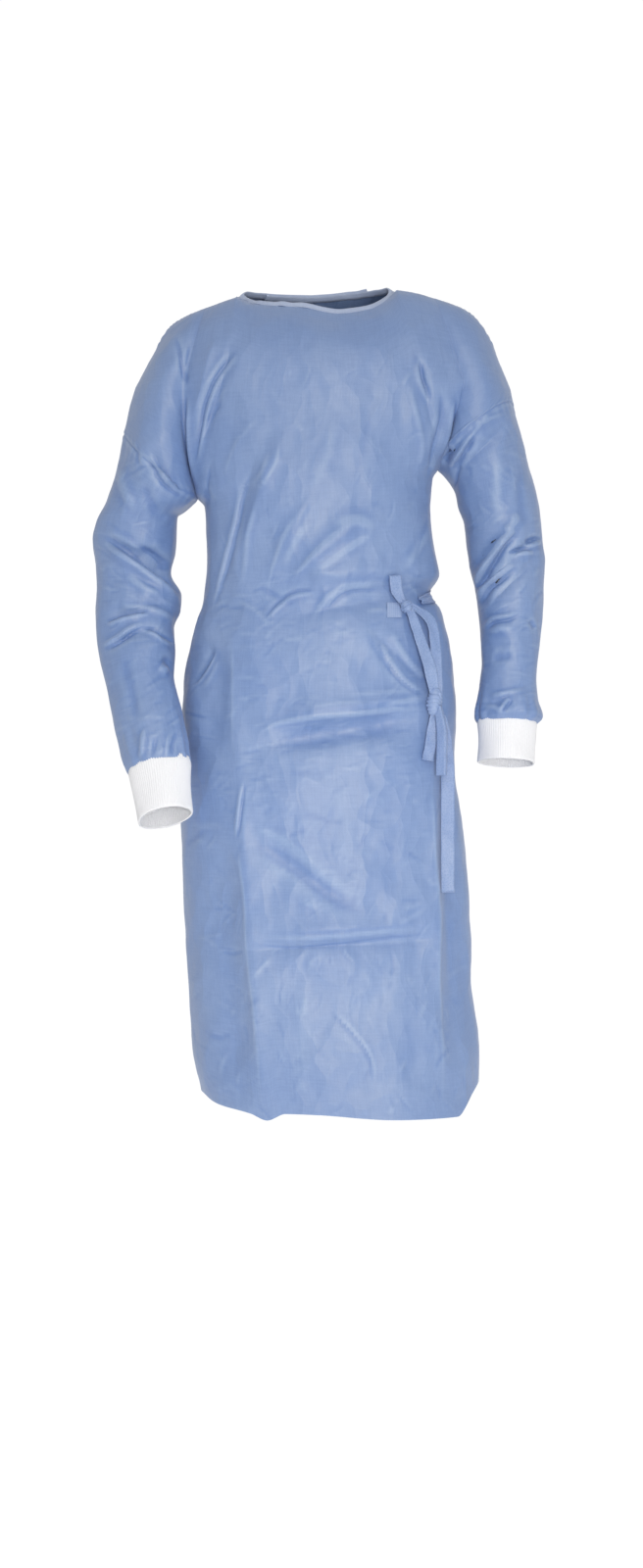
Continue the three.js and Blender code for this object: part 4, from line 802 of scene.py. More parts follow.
def straight_folds(folds, x, z):
    """How far the largest folds move each point."""
    total = np.zeros_like(x)
    for x1, z1, x2, z2, width, rise in zip(*folds.values()):
        length = math.hypot(x2 - x1, z2 - z1)
        along = ((x - x1) * (x2 - x1) + (z - z1) * (z2 - z1)) / length**2
        off = ((x - x1) * (z2 - z1) - (z - z1) * (x2 - x1)) / length
        ends = ease(0, FOLD_END, along) * ease(0, FOLD_END, 1 - along)
        total += rise * ends * np.exp(-FOLD_FALL * (np.hypot(off / width, FOLD_ROUND) - FOLD_ROUND))
    return total


def smooth_line(knots, steps=6):
    """Points on a smooth curve through the knots of a crease."""
    knots = np.array(knots, float)
    if len(knots) == 2:
        return mix(knots[0], knots[1], np.linspace(0, 1, steps + 1)[:, None])
    slopes = np.gradient(knots, axis=0)
    t = np.linspace(0, 1, steps, endpoint=False)[:, None]
    parts = []
    for a, b, ma, mb in zip(knots, knots[1:], slopes, slopes[1:]):
        start, end = a * (1 + 2 * t) * (1 - t) ** 2, b * t * t * (3 - 2 * t)
        parts.append(start + end + ma * t * (1 - t) ** 2 - mb * t * t * (1 - t))
    return np.concatenate(parts + [knots[-1:]])


PROFILES = {
    "soft": lambda off: np.exp(-(off**2)),
    "sharp": lambda off: np.exp(-np.sqrt(off**2 + 0.02) * 1.3),
    "ledge": lambda off: 1.5 * np.tanh(2.6 * off) * np.exp(-(off**2)),
    "facet": lambda off: np.where(off < 0, 1.65 * off * np.exp(-(off**2) / 2), 0),
}


def creases(rows, x, z):
    """How far the fine creases move each point."""
    total = np.zeros_like(x)
    for kind, width, rise, knots in rows:
        line = smooth_line(knots)
        low, high = line.min(axis=0) - CREASE_REACH * width, line.max(axis=0) + CREASE_REACH * width
        near = np.flatnonzero((x > low[0]) & (x < high[0]) & (z > low[1]) & (z < high[1]))
        if not len(near):
            continue
        spot = np.stack([x[near], z[near]], axis=1)
        steps = np.linalg.norm(np.diff(line, axis=0), axis=1)
        begins = np.concatenate([[0], np.cumsum(steps)])
        best = np.full(len(near), np.inf)
        off, way = np.zeros(len(near)), np.zeros(len(near))
        for k, (a, b) in enumerate(zip(line, line[1:])):
            along = np.clip((spot - a) @ (b - a) / steps[k] ** 2, 0, 1)
            away = spot - (a + along[:, None] * (b - a))
            distance = np.hypot(away[:, 0], away[:, 1])
            side = np.sign((b - a)[0] * away[:, 1] - (b - a)[1] * away[:, 0])
            closer = distance < best
            best = np.where(closer, distance, best)
            off = np.where(closer, side * distance, off)
            way = np.where(closer, (begins[k] + along * steps[k]) / begins[-1], way)
        ends = ease(0, CREASE_END, way) * ease(0, CREASE_END, 1 - way)
        total[near] += rise * ends * PROFILES[kind](off / width)
    return total


def small_creases(regions, seed):
    """Seeded rows for creases(), strewn over some regions."""
    rng = np.random.default_rng(seed)
    rows = []
    for x1, z1, x2, z2, count, lean, swing in zip(*regions.values()):
        for _ in range(int(count)):
            middle = np.array([rng.uniform(x1, x2), rng.uniform(z1, z2)])
            angle = math.radians(lean + swing * rng.uniform(-1, 1))
            along = np.array([math.cos(angle), math.sin(angle)]) * rng.uniform(*SMALL_LENGTH) / 2
            bend = np.array([-along[1], along[0]]) * rng.uniform(-SMALL_BEND, SMALL_BEND)
            kind = rng.choice(["sharp", "soft", "ledge"])
            size = rng.uniform(*SMALL_RISE) * rng.choice([-1, 1]) * (LEDGE_SHARE if kind == "ledge" else 1)
            width = rng.uniform(*SMALL_WIDTH)
            rows.append((kind, width, size, [middle - along, middle + bend, middle + along]))
    return rows


def waves(places, size, amount, count, seed):
    """Seeded unevenness: a sum of plane waves with random directions."""
    rng = np.random.default_rng(seed)
    directions = unit(rng.normal(size=(count, 3)))
    lengths = size * rng.uniform(*WAVE_SIZES, count)
    phases = rng.uniform(0, 2 * math.pi, count)
    swing = np.sin(places @ (directions / lengths[:, None] * 2 * math.pi).T + phases)
    return amount * swing.sum(axis=1) / math.sqrt(count / 2)


all_quads = np.concatenate(list(cloth_quads.values()))
normals = normals_of(points, all_quads)
facing_front = ease(*FACING, -normals[:, 1])
facing_back = ease(*FACING, normals[:, 1])
rise = straight_folds(FRONT_FOLDS, points[:, 0], points[:, 2]) * facing_front
rise += straight_folds(BACK_FOLDS, points[:, 0], points[:, 2]) * facing_back
points += normals * rise[:, None]
normals = normals_of(points, all_quads)

# Which points belong to each piece: 1 for its points, 0 for the rest.
member = {}
for name, quads in cloth_quads.items():
    member[name] = np.zeros(len(points))
    member[name][np.unique(quads)] = 1
arms = np.maximum(member["sleeve_right"], member["sleeve_left"])
x, z = points[:, 0].copy(), points[:, 2].copy()
trunk = np.maximum(member["front"], member["back"])
strewn = {
    "front": CREASES["front"] + small_creases(SMALL_CREASES["front"], SEED + 1),
    "back": CREASES["back"] + small_creases(SMALL_CREASES["back"], SEED + 2),
    "arm_front": CREASES["sleeve_right"]
    + CREASES["sleeve_left"]
    + small_creases(SMALL_CREASES["sleeves"], SEED + 3),
    "arm_back": CREASES["sleeve_back"] + small_creases(SMALL_CREASES["sleeves"], SEED + 4),
}
rise = creases(strewn["front"], x, z) * facing_front * trunk
rise += ARM_CREASES * creases(strewn["arm_front"], x, z) * facing_front * arms
rise += creases(strewn["back"], x, z) * facing_back * trunk
rise += creases(strewn["arm_back"], x, z) * facing_back * arms
folded = rise.copy()
for number, (size, amount, count) in enumerate(CRUMPLE):
    rise += waves(points, size, amount, count, SEED + 10 + number)

# The cloth lies calmer at the cuffs and along the neck, where it is drawn in.
calm = np.ones(len(points))
for side in sleeves:
    rows = np.arange(len(sleeves[side]))[:, None]
    calm[sleeves[side]] = 1 - CALMER * ease(SLEEVE_FINE_ROWS * CALM_SLEEVE, SLEEVE_FINE_ROWS, rows)
for grid in (front[1], back[1]):
    span = slice(RIDGE * FINE, -RIDGE * FINE)
    rows = np.arange(len(grid))[:, None]
    fade = 1 - CALMER * ease(ARMHOLE_FINE_ROWS + YOKE_FINE_ROWS * CALM_YOKE, len(grid) - 1, rows)
    calm[grid[:, span]] = np.broadcast_to(fade, grid[:, span].shape)
rise *= calm
folded *= calm


def seam_groove(grid, seam_row, columns):
    """A groove along a seam, with a little pucker beside it that runs out over some centimetres."""
    rows = grid[:, columns]
    away = np.linalg.norm(points[rows] - points[rows[seam_row]][None], axis=-1)
    along = np.arange(rows.shape[1])
    swing = np.sin(along * PUCKER["waves"] + 1.2 * np.sin(along * 0.37))
    pucker = swing * np.exp(-away / PUCKER["reach"]) * (1 - np.exp(-away / PUCKER["begins"]))
    ridge = SEAM_RIDGE["rise"] * np.exp(-(((away - SEAM_RIDGE["away"]) / SEAM_RIDGE["reach"]) ** 2))
    groove = GROOVE["depth"] * np.exp(-((away / GROOVE["reach"]) ** 2))
    return rows.ravel(), (ridge - groove + PUCKER["rise"] * pucker).ravel()


cap_cells = CAP_COLUMNS * FINE
ridge_cells = RIDGE * FINE
grooves = [seam_groove(sleeves[side], 0, slice(None)) for side in ("right", "left")]
for grid in (front[1], back[1]):
    grooves.append(seam_groove(grid[:ARMHOLE_FINE_ROWS], 0, slice(0, cap_cells + 1)))
    grooves.append(seam_groove(grid[:ARMHOLE_FINE_ROWS], 0, slice(-cap_cells - 1, None)))
    grooves.append(seam_groove(grid[ARMHOLE_FINE_ROWS:], -1, slice(0, ridge_cells + 1)))
    grooves.append(seam_groove(grid[ARMHOLE_FINE_ROWS:], -1, slice(-ridge_cells - 1, None)))
groove_rise = np.zeros(len(points))
for cells, amounts in grooves:
    groove_rise[cells] = amounts
points += normals * (rise + groove_rise)[:, None]
normals = normals_of(points, all_quads)


def high_ground(grid):
    """How far each point of a grid stands above the mean round it, for painted highlight on the ridges and
    painted shade in the hollows.
    """
    height = (folded + groove_rise)[grid]
    mean = height
    for _ in range(3):
        padded = np.pad(mean, 1, mode="edge")
        mean = sum(padded[i : i + len(mean), j : j + mean.shape[1]] for i in range(3) for j in range(3)) / 9
    return height - mean


# Height above the mean round each point, which the cloth's colour turns into painted highlight on ridges
# and painted shade in hollows.
painted_shading_height = np.zeros(len(points))
for grid in (*front, *back, *sleeves.values()):
    painted_shading_height[grid] = high_ground(grid)


# Meshes and their finish.
def new_mesh(name, places, cells, uvs=None):
    """A smooth mesh in metres, with optional cloth coordinates."""
    mesh = bpy.data.meshes.new(name)
    mesh.from_pydata((places * MM).tolist(), [], cells)
    mesh.update()
    mesh.polygons.foreach_set("use_smooth", [True] * len(mesh.polygons))
    if uvs is not None:
        layer = mesh.uv_layers.new(name="cloth")
        corner = np.empty(len(mesh.loops), dtype=np.int64)
        mesh.loops.foreach_get("vertex_index", corner)
        layer.data.foreach_set("uv", (uvs * MM)[corner].ravel())
    return mesh


def new_object(name, data):
    """An object in the scene with a mesh, a lamp or a camera in it."""
    item = bpy.data.objects.new(name, data)
    bpy.context.scene.collection.objects.link(item)
    return item


def walled(name, places, quads, uvs, wall):
    """A piece with its thickness laid half on each side of its faces."""
    piece = new_object(name, new_mesh(name, places, quads.tolist(), uvs))
    thickness = piece.modifiers.new("thickness", "SOLIDIFY")
    thickness.thickness = wall * MM
    thickness.offset = 0
    return piece


def border_of(quads):
    """The next point along the border from each of its points, as the faces run."""
    starts, ends = quads.ravel(), np.roll(quads, -1, axis=1).ravel()
    size = quads.max() + 1
    open_edges = ~np.isin(starts * size + ends, ends * size + starts)
    return dict(zip(starts[open_edges].tolist(), ends[open_edges].tolist()))


def shell(name, grids, outward, places, inner_places, uvs):
    """A thin closed wall: a fine outer face, an inner face of larger cells, and the edges."""
    outer = np.concatenate([quads_of(grid, outward) for grid in grids])
    coarse = [grid[::INNER_STEP, ::INNER_STEP] for grid in grids]
    inner = np.concatenate([quads_of(grid, -outward) for grid in coarse])
    used, kept = np.unique(outer), np.unique(inner)
    outer_slot = np.full(len(places), -1)
    outer_slot[used] = np.arange(len(used))
    inner_slot = np.full(len(places), -1)
    inner_slot[kept] = len(used) + np.arange(len(kept))
    cells = outer_slot[outer].tolist() + inner_slot[inner].tolist()
    following = border_of(outer)
    for start in following:
        if inner_slot[start] < 0:
            continue
        run = [start]
        while len(run) == 1 or inner_slot[run[-1]] < 0:
            run.append(following[run[-1]])
        a, b = inner_slot[[run[0], run[-1]]].tolist()
        rim = outer_slot[run].tolist()
        cells.append([rim[1], rim[0], a])
        cells.append([rim[1], a, b])
        cells.extend([rim[k + 1], rim[k], b] for k in range(1, len(rim) - 1))
    spots = np.concatenate([places[used], inner_places[kept]])
    mesh = new_mesh(name, spots, cells, np.concatenate([uvs[used], uvs[kept]]))
    # The height above the mean round each point, stored for the painted highlight and painted shade at the
    # folds.
    painted_fold_shading = mesh.attributes.new("painted_fold_shading", "FLOAT", "POINT")
    painted_fold_shading.data.foreach_set("value", np.concatenate([painted_shading_height[used], painted_shading_height[kept]]))
    facing = np.concatenate([normals[used], -normals[kept]])
    mesh.normals_split_custom_set_from_vertices(facing.tolist())
    return new_object(name, mesh)


def cloth_coordinates(grid, places, middle):
    """Lengths along the cloth from a middle column, as two coordinates of each point."""
    spots = places[grid]
    across = np.linalg.norm(np.diff(spots, axis=1), axis=-1)
    u = np.concatenate([np.zeros((len(grid), 1)), np.cumsum(across, axis=1)], axis=1)
    up = np.linalg.norm(np.diff(spots[:, middle], axis=0), axis=-1)
    v = np.concatenate([[0], np.cumsum(up)])[:, None]
    return np.stack(np.broadcast_arrays(u - u[:, middle : middle + 1], v), axis=-1)


cloth_uv = np.zeros((len(points), 2))


def set_coordinates(grid, middle):
    cloth_uv[grid.ravel()] = cloth_coordinates(grid, points, middle).reshape(-1, 2)


for face, grids in (("front", front), ("back", back)):
    half = TORSO_COLUMNS[face] * FINE // 2
    set_coordinates(grids[0], half)
    top = cloth_coordinates(grids[1], points, half + cap_cells)
    top[..., 1] += cloth_uv[grids[0][-1, half], 1]
    cloth_uv[grids[1].ravel()] = top.reshape(-1, 2)


for side in ("right", "left"):
    set_coordinates(sleeves[side], cap_cells // 2)


def sunk(grid):
    """The least rise round each point of a grid, so that the inner face stays under the outer."""
    least = (rise + groove_rise)[grid]
    for axis in (0, 1):
        margins = [(INNER_STEP, INNER_STEP) if axis == k else (0, 0) for k in (0, 1)]
        padded = np.pad(least, margins, mode="edge")
        size = least.shape[axis]
        shifts = [np.take(padded, np.arange(k, k + size), axis=axis) for k in range(2 * INNER_STEP + 1)]
        least = np.min(shifts, axis=0)
    return least


def cloth_piece(name, grids, outward, offset=0):
    """A wall of cloth on some grids of the surface, moved off it by offset."""
    depth = np.zeros(len(points))
    for grid in grids:
        depth[grid] = (rise + groove_rise)[grid] - sunk(grid)
    centre = points + normals * np.broadcast_to(offset, len(points))[:, None]
    inner = centre - normals * (CLOTH_WALL / 2 + depth)[:, None]
    return shell(name, grids, outward, centre + normals * (CLOTH_WALL / 2), inner, cloth_uv)


def back_panel(name, first, last, lift):
    """One back panel: the columns from first to last, moved off the form by lift where they lap."""
    middle = TORSO_COLUMNS["back"] * FINE
    columns = [np.arange(middle + 1), np.arange(-cap_cells, middle + cap_cells + 1)]
    grids, offset = [], np.zeros(len(points))
    for grid, column in zip(back, columns):
        column = column / FINE
        cells = np.flatnonzero((column >= first) & (column <= last))
        grids.append(grid[:, cells])
        offset[grids[-1]] = lift(column[cells])[None]
    return cloth_piece(name, grids, -1, offset)


EDGE_STAND = 2.6  # how far the outer panel's free edge stands out beyond the lap
EDGE_COLUMNS = 1.2  # over how many columns it comes away


def over_lift(column):
    """The outer panel lies over the inner one, and stands a little off it at its free edge."""
    edge = EDGE_STAND * np.clip((column - OVER_PANEL_END + EDGE_COLUMNS) / EDGE_COLUMNS, 0, 1) ** 2
    return LAP * ease(UNDER_PANEL_START - LAP_EASE, UNDER_PANEL_START, column) + edge


def under_lift(column):
    return LAP * (ease(OVER_PANEL_END, OVER_PANEL_END + LAP_EASE, column) - 1)


FAR = 2 * TORSO_COLUMNS["back"]  # past every column of the back
cloth_front = cloth_piece("cloth_front", front, 1)
cloth_back_over = back_panel("cloth_back_over", -FAR, OVER_PANEL_END, over_lift)
cloth_back_under = back_panel("cloth_back_under", UNDER_PANEL_START, FAR, under_lift)
cloth_sleeves = {
    side: cloth_piece(f"cloth_sleeve_{side}", [grid[::-1]], OUTWARD[side]) for side, grid in sleeves.items()
}


def own_grid(name, grid, wall):
    """A piece with a grid of its own, whose rows run up."""
    index = np.arange(grid.shape[0] * grid.shape[1]).reshape(grid.shape[:2])
    uvs = cloth_coordinates(index, grid.reshape(-1, 3), grid.shape[1] // 2).reshape(-1, 2)
    return walled(name, grid.reshape(-1, 3), quads_of(index, 1), uvs, wall)


def knit_cuff(side):
    """A ribbed cuff: rings joined all the way round."""
    rings = cuff_rings(side)[::-1]
    index = np.arange(rings.shape[0] * rings.shape[1]).reshape(rings.shape[:2])
    spots = rings.reshape(-1, 3)
    uvs = cloth_coordinates(index, spots, rings.shape[1] // 4).reshape(-1, 2)
    return walled(f"knit_cuff_{side}", spots, quads_of(closed(index), OUTWARD[side]), uvs, KNIT_WALL)


knit_cuffs = {side: knit_cuff(side) for side in ("right", "left")}


# The neck binding: a tape folded over the cloth's edge, with a sewn line along its lower edge.
BINDING_RIPPLE = 0.35
PATH_BLUR = 6
NORMAL_BLUR = 12
BINDING_PROFILE = table(
    "up out",
    (-0.10, 0.5), (0.0, 0.95), (0.10, 0.75), (0.16, 0.35), (0.24, 0.85), (0.42, 1.25),
    (0.62, 1.3), (0.82, 1.1), (0.95, 0.6), (1.02, -0.2), (0.98, -1.0), (0.8, -1.5),
    (0.4, -1.7), (0.0, -1.6),
)


def no_lift(column):
    return np.zeros(len(column))


def neck_path(grid, start, end, lift):
    """Places and normals along the neck's edge, from one column to another."""
    edge = grid[1][-1]
    column = np.arange(start * FINE, end * FINE + np.sign(end - start), np.sign(end - start))
    cells = edge[column + cap_cells]
    return points[cells] + normals[cells] * lift(column / FINE)[:, None], normals[cells]


def blur(rows, times):
    """Rows smoothed along their length."""
    for _ in range(times):
        padded = np.concatenate([rows[:1], rows, rows[-1:]])
        rows = (padded[:-2] + 2 * padded[1:-1] + padded[2:]) / 4
    return rows


def neck_binding():
    """The tape round the neck, from the outer back panel's edge to the inner one's."""
    last = {face: TORSO_COLUMNS[face] - SHOULDER_COLUMNS for face in TORSO_COLUMNS}
    runs = [
        neck_path(back, OVER_PANEL_END, SHOULDER_COLUMNS, over_lift),
        neck_path(front, SHOULDER_COLUMNS, last["front"], no_lift),
        neck_path(back, last["back"], UNDER_PANEL_START, under_lift),
    ]
    start = blur(np.concatenate([run[0][1:] for run in runs]), PATH_BLUR)
    normal = unit(blur(np.concatenate([run[1][1:] for run in runs]), NORMAL_BLUR))
    upward = unit(np.cross(normal, unit(np.gradient(start, axis=0))))
    upward = unit(blur(unit(upward + np.array([0, 0, BINDING_STAND])), NORMAL_BLUR))
    ripple = BINDING_RIPPLE * waves(start, size=26, amount=1, count=10, seed=SEED + 31)
    rows = []
    for up, out in zip(*BINDING_PROFILE.values()):
        rows.append(start + upward * (BINDING_GAP + up * NECK_BAND) + normal * (out + ripple)[:, None])
    return own_grid("binding_neck", np.array(rows), BINDING_WALL)


binding_neck = neck_binding()


HALVINGS = 22  # of the gown's width, to find a place on the front


def on_body(grid, share, height):
    """The place and normal on the body's cloth at a share across it and a height."""
    cells = grid[0]
    at = np.interp(share, TORSO_SHARES["front" if grid is front else "back"], np.arange(cells.shape[1]))
    i = min(int(at), cells.shape[1] - 2)
    found = []
    for column in (cells[:, i], cells[:, i + 1]):
        row = np.interp(height, points[column][:, 2], np.arange(len(column)))
        k = min(int(row), len(column) - 2)
        pair = column[k : k + 2]
        found.append([mix(*values[pair], row - k) for values in (points, normals)])
    place_here, normal = (mix(a, b, at - i) for a, b in zip(*found))
    return place_here, unit(normal)


def on_front(x_here, height):
    """The same for the front, at a place as seen from the front."""
    low, high = 0.0, 1.0
    for _ in range(HALVINGS):
        middle = (low + high) / 2
        if on_body(front, middle, height)[0][0] < x_here:
            low = middle
        else:
            high = middle
    return on_body(front, low, height)


RIBBON_ACROSS = np.linspace(-0.5, 0.5, 11)
RIBBON_STEPS = 16  # cells between two rows of a ribbon's table
BELT_STEPS = 130
BELT_SINK = 0.6  # how much nearer the cloth the belt lies than TIE_LIFT
BELT_CURL = 0.5
BELT_BUNCH = dict(rise=1.3, starts=(0.66, 0.9), pleats=11)  # drawn together towards the knot


def belt_side():
    """The tie from the outer back panel's edge round the wearer's left side to the upper knot."""
    start = (OVER_PANEL_END - BELT_SEWN_ON) / TORSO_COLUMNS["back"]
    grid = np.zeros((len(RIBBON_ACROSS), BELT_STEPS + 1, 3))
    for k in range(BELT_STEPS + 1):
        way = k / BELT_STEPS
        panel, share = back, mix(start, 1, way / BELT_SIDE)
        if way >= BELT_SIDE:
            panel, share = front, mix(1, BELT_END, (way - BELT_SIDE) / (1 - BELT_SIDE))
        over = LAP * (1 - ease(BELT_SIDE / 3, BELT_SIDE / 1.5, way)) + read(BELT, "way", way, "off")
        bunch = BELT_BUNCH["rise"] * ease(*BELT_BUNCH["starts"], way)
        for row, across in enumerate(RIBBON_ACROSS):
            height = read(BELT, "way", way, "z") + across * read(BELT, "way", way, "width")
            spot, normal = on_body(panel, share, height)
            pleats = bunch * math.cos(across * BELT_BUNCH["pleats"])
            curl = pleats + BELT_CURL * math.cos(across * math.pi * 2)
            grid[row, BELT_STEPS - k] = spot + normal * (TIE_LIFT - BELT_SINK + over + curl)
    return own_grid("ribbon_belt_side", grid, RIBBON_WALL)


LOOP_FOLD = 1.07  # how steeply the loop's two halves lean: 19 mm of tape then shows 13 mm wide
LOOP_FOLD_LINE = 0.2  # where the fold lies across the loop, from -0.5 to 0.5
EDGE_CURL = 0.35  # how far a ribbon's edges curl out
PINCHED = (0.75, 0.35)  # shares of its full width between which a ribbon gathers into pleats
PINCH = dict(rise=1.4, pleats=13)
TAIL_CRUMPLE = 0.55
FALL_CRUMPLE = 0.35


def ribbon(name, line, crumple, seed, fold):
    """A ribbon along its table, from the top to the bottom, folded lengthwise as steeply as fold."""
    rows = dict(line)
    rows["at"] = np.linspace(0, 1, len(line["x"]))
    at = np.linspace(1, 0, RIBBON_STEPS * (len(line["x"]) - 1) + 1)
    path = stack(*(read(rows, "at", at, axis) for axis in "xyz"))
    direction = unit(np.gradient(path, axis=0))
    turn = np.radians(read(rows, "at", at, "turn"))[:, None]
    across = unit(stack(direction[:, 2], np.zeros(len(at)), -direction[:, 0]))
    across = across * np.cos(turn) + np.array([0, 1, 0]) * np.sin(turn)
    width = read(rows, "at", at, "width")
    out = unit(np.cross(across, direction))
    grid = path[:, None] + across[:, None] * (width[:, None, None] * RIBBON_ACROSS[None, :, None])
    pinch = PINCH["rise"] * ease(*PINCHED, width / line["width"].max())[:, None]
    tent = 0.5 + LOOP_FOLD_LINE - np.abs(RIBBON_ACROSS - LOOP_FOLD_LINE)
    curl = EDGE_CURL * (2 * RIBBON_ACROSS) ** 2 + pinch * np.cos(RIBBON_ACROSS * PINCH["pleats"])
    curl = curl + fold * width[:, None] * tent
    bumps = waves(grid.reshape(-1, 3), size=13, amount=1, count=14, seed=SEED + 50 + seed)
    curl = curl + crumple * bumps.reshape(curl.shape)
    return own_grid(name, grid + out[:, None] * curl[..., None], RIBBON_WALL)


PATCH_CELLS = 40
PATCH_SINK = 0.5  # how much nearer the cloth the patch lies than its lift
WELD_DOT = 0.28  # how far its weld dots stand out
PATCH_RIM = 0.3  # how far its rim is pressed down


def quadratic(t):
    """Weights of three evenly spaced values at t."""
    return (2 * (t - 0.5) * (t - 1), 4 * t * (1 - t), 2 * t * (t - 0.5))


def patch(name, x, z, width, height, lift):
    """The welded end of the front tie, with its grid of weld dots."""
    grid = np.zeros((PATCH_CELLS + 1, PATCH_CELLS + 1, 3))
    ends = (-0.5, 0, 0.5)
    found = np.array([[on_front(x + a * width, z + b * height) for a in ends] for b in ends])
    for r in range(PATCH_CELLS + 1):
        for c in range(PATCH_CELLS + 1):
            u, v = c / PATCH_CELLS, r / PATCH_CELLS
            weights = np.outer(quadratic(v), quadratic(u))
            spot, normal = np.tensordot(weights, found, axes=2)
            dots = math.cos(u * width * math.pi) * math.cos(v * height * math.pi)
            rim = PATCH_RIM * (max(abs(u - 0.5), abs(v - 0.5)) * 2) ** 6
            grid[r, c] = spot + unit(normal) * (lift - PATCH_SINK + WELD_DOT * dots - rim)
    return own_grid(name, grid, RIBBON_WALL)


KNOT_RINGS = 44
KNOT_AROUND = 60
# How a knot's turns of ribbon lie: the pitch and the slant of the bands, the grooves between
# them, and the pleats in each. Depths and rises are shares of the knot's size.
KNOT_PITCH = 1.6
KNOT_SLANT = dict(rise=0.5, turned=0.6, uneven=0.2)
KNOT_GROOVE = dict(depth=0.2, sharpness=0.45)
KNOT_PLEAT = dict(rise=0.09, pleats=4.5, sway=1.5)
KNOT_LUMP = 0.05


def knot(name, x, y, z, width, height, depth, tilt, bands):
    """A knot: ribbon turns drawn tight, as a lump with slanting grooves and folds in its turns."""
    v = np.linspace(0, math.pi, KNOT_RINGS + 1)[:, None]
    u = (2 * math.pi * np.arange(KNOT_AROUND) / KNOT_AROUND)[None, :]
    up = np.cos(v)
    slant = KNOT_SLANT["rise"] * np.sin(u + KNOT_SLANT["turned"])
    phase = bands * up * KNOT_PITCH + slant + KNOT_SLANT["uneven"] * np.sin(2 * u)
    groove = 1 - np.abs(np.sin(phase * math.pi / 2)) ** KNOT_GROOVE["sharpness"]
    sway = KNOT_PLEAT["sway"] * np.sin(u)
    pleat = KNOT_PLEAT["rise"] * np.sin(phase * math.pi * KNOT_PLEAT["pleats"] + sway)
    radius = 1 - KNOT_GROOVE["depth"] * groove + pleat + KNOT_LUMP * np.sin(3 * u + 2 * up)
    across = radius * np.sin(v) * np.cos(u) * width / 2
    inward = radius * np.sin(v) * np.sin(u) * depth / 2
    upward = (0.9 + 0.1 * radius) * up * height / 2
    lean = math.radians(tilt)
    spots = stack(
        across * math.cos(lean) + upward * math.sin(lean) + x,
        inward + y,
        upward * math.cos(lean) - across * math.sin(lean) + z,
    )
    index = np.arange((KNOT_RINGS + 1) * KNOT_AROUND).reshape(KNOT_RINGS + 1, KNOT_AROUND)
    index[0], index[-1] = index[0, 0], index[-1, 0]
    used, corners = np.unique(quads_of(closed(index)[::-1], 1), return_inverse=True)
    quads = corners.reshape(-1, 4).tolist()
    faces = [[a for k, a in enumerate(quad) if a != quad[k - 1]] for quad in quads]
    return new_object(name, new_mesh(name, spots.reshape(-1, 3)[used], faces))


ribbon_belt_side = belt_side()
ribbon_patch = patch("ribbon_tie_patch", **TIE_PATCH)
ribbons = {}
for number, (name, line) in enumerate(RIBBONS.items()):
    crumple = TAIL_CRUMPLE if "tail" in name else FALL_CRUMPLE
    fold = LOOP_FOLD if name == "tie_loop" else 0
    ribbons[name] = ribbon(f"ribbon_{name}", line, crumple, number, fold)
knots = {name: knot(f"ribbon_{name}", **row) for name, row in KNOTS.items()}


# Materials. Scales of textures are waves, cells or dots in a metre, and heights are in metres.
class Nodes:
    """Adds nodes to a material and joins them."""

    def __init__(self, name):
        self.material = bpy.data.materials.new(name)
        self.material.use_nodes = True
        self.tree = self.material.node_tree
        self.shader = self.tree.nodes["Principled BSDF"]

    def add(self, kind, **values):
        """A node, with its settings and inputs by name."""
        node = self.tree.nodes.new(kind)
        for key, value in values.items():
            if hasattr(node, key):
                setattr(node, key, value)
            else:
                node.inputs[key.replace("_", " ").title()].default_value = value
        return node

    def join(self, source, output, target, socket):
        self.tree.links.new(source.outputs[output], target.inputs[socket])

    def after(self, source, output, socket, kind, **values):
        """A node that takes a source's output in one of its inputs."""
        node = self.add(kind, **values)
        self.join(source, output, node, socket)
        return node

    def multiply(self, first, second):
        node = self.after(first, "Color", "Color1", "ShaderNodeMixRGB", blend_type="MULTIPLY", fac=1.0)
        self.join(second, "Color", node, "Color2")
        return node

    def ramp(self, source, output, *stops):
        node = self.after(source, output, "Fac", "ShaderNodeValToRGB")
        elements = node.color_ramp.elements
        while len(elements) < len(stops):
            elements.new(0.5)
        for element, (at, colour) in zip(elements, stops):
            element.position = at
            element.color = (*colour, 1)
        return node

    def bump(self, source, output, strength, distance, under=None):
        """Relief from a source's height, over another relief."""
        node = self.after(source, output, "Height", "ShaderNodeBump", strength=strength, distance=distance)
        if under:
            self.join(under, "Normal", node, "Normal")
        return node

    def shade(self, values):
        """Values of the shader's inputs."""
        for socket, value in values.items():
            self.shader.inputs[socket].default_value = value


def linear(red, green, blue):
    """A screen colour, each part from 11 to 255, as light."""
    return tuple(((value / 255 + 0.055) / 1.055) ** 2.4 for value in (red, green, blue))


def object_space(nodes):
    return nodes.add("ShaderNodeTexCoord")


def cloth_space(nodes):
    """Coordinates along the cloth, in metres."""
    return nodes.add("ShaderNodeUVMap", uv_map="cloth")


WHITE = (1, 1, 1)
BLACK = (0, 0, 0)
CLOUD = dict(scale=9.0, detail=3.0, roughness=0.55)
CLOUD_STOPS = (0.34, 0.68)
WEB = dict(scale=420.0, detail=3.0, roughness=0.6)
WEB_STOPS = ((0.3, (0.93, 0.94, 0.96)), (0.7, WHITE))
STREAKS = ((520, 30), (36, 420))  # waves of the fibre streaks, across and along the cloth
THREADS = dict(scale=1.0, detail=2.0, roughness=0.6)
STREAK_STOPS = ((0.3, (0.93, 0.945, 0.965)), (0.7, (1.05, 1.04, 1.025)))
SPECK_EDGE = 0.1
TAPE_SPECKS = dict(scale=340.0, randomness=0.85, size=0.24, spot=(0.80, 0.86, 0.93))
WELD_DOTS = dict(scale=350.0, randomness=0.0, size=0.34, spot=(1.32, 1.22, 1.10))

# Painted highlight on the cloth's ridges and painted shade in its hollows.
PAINTED_FOLD_RANGE = (-0.24, 0.32)
PAINTED_FOLD_STOPS = ((0.0, (0.80, 0.87, 0.95)), (0.44, WHITE), (1.0, (1.24, 1.17, 1.07)))

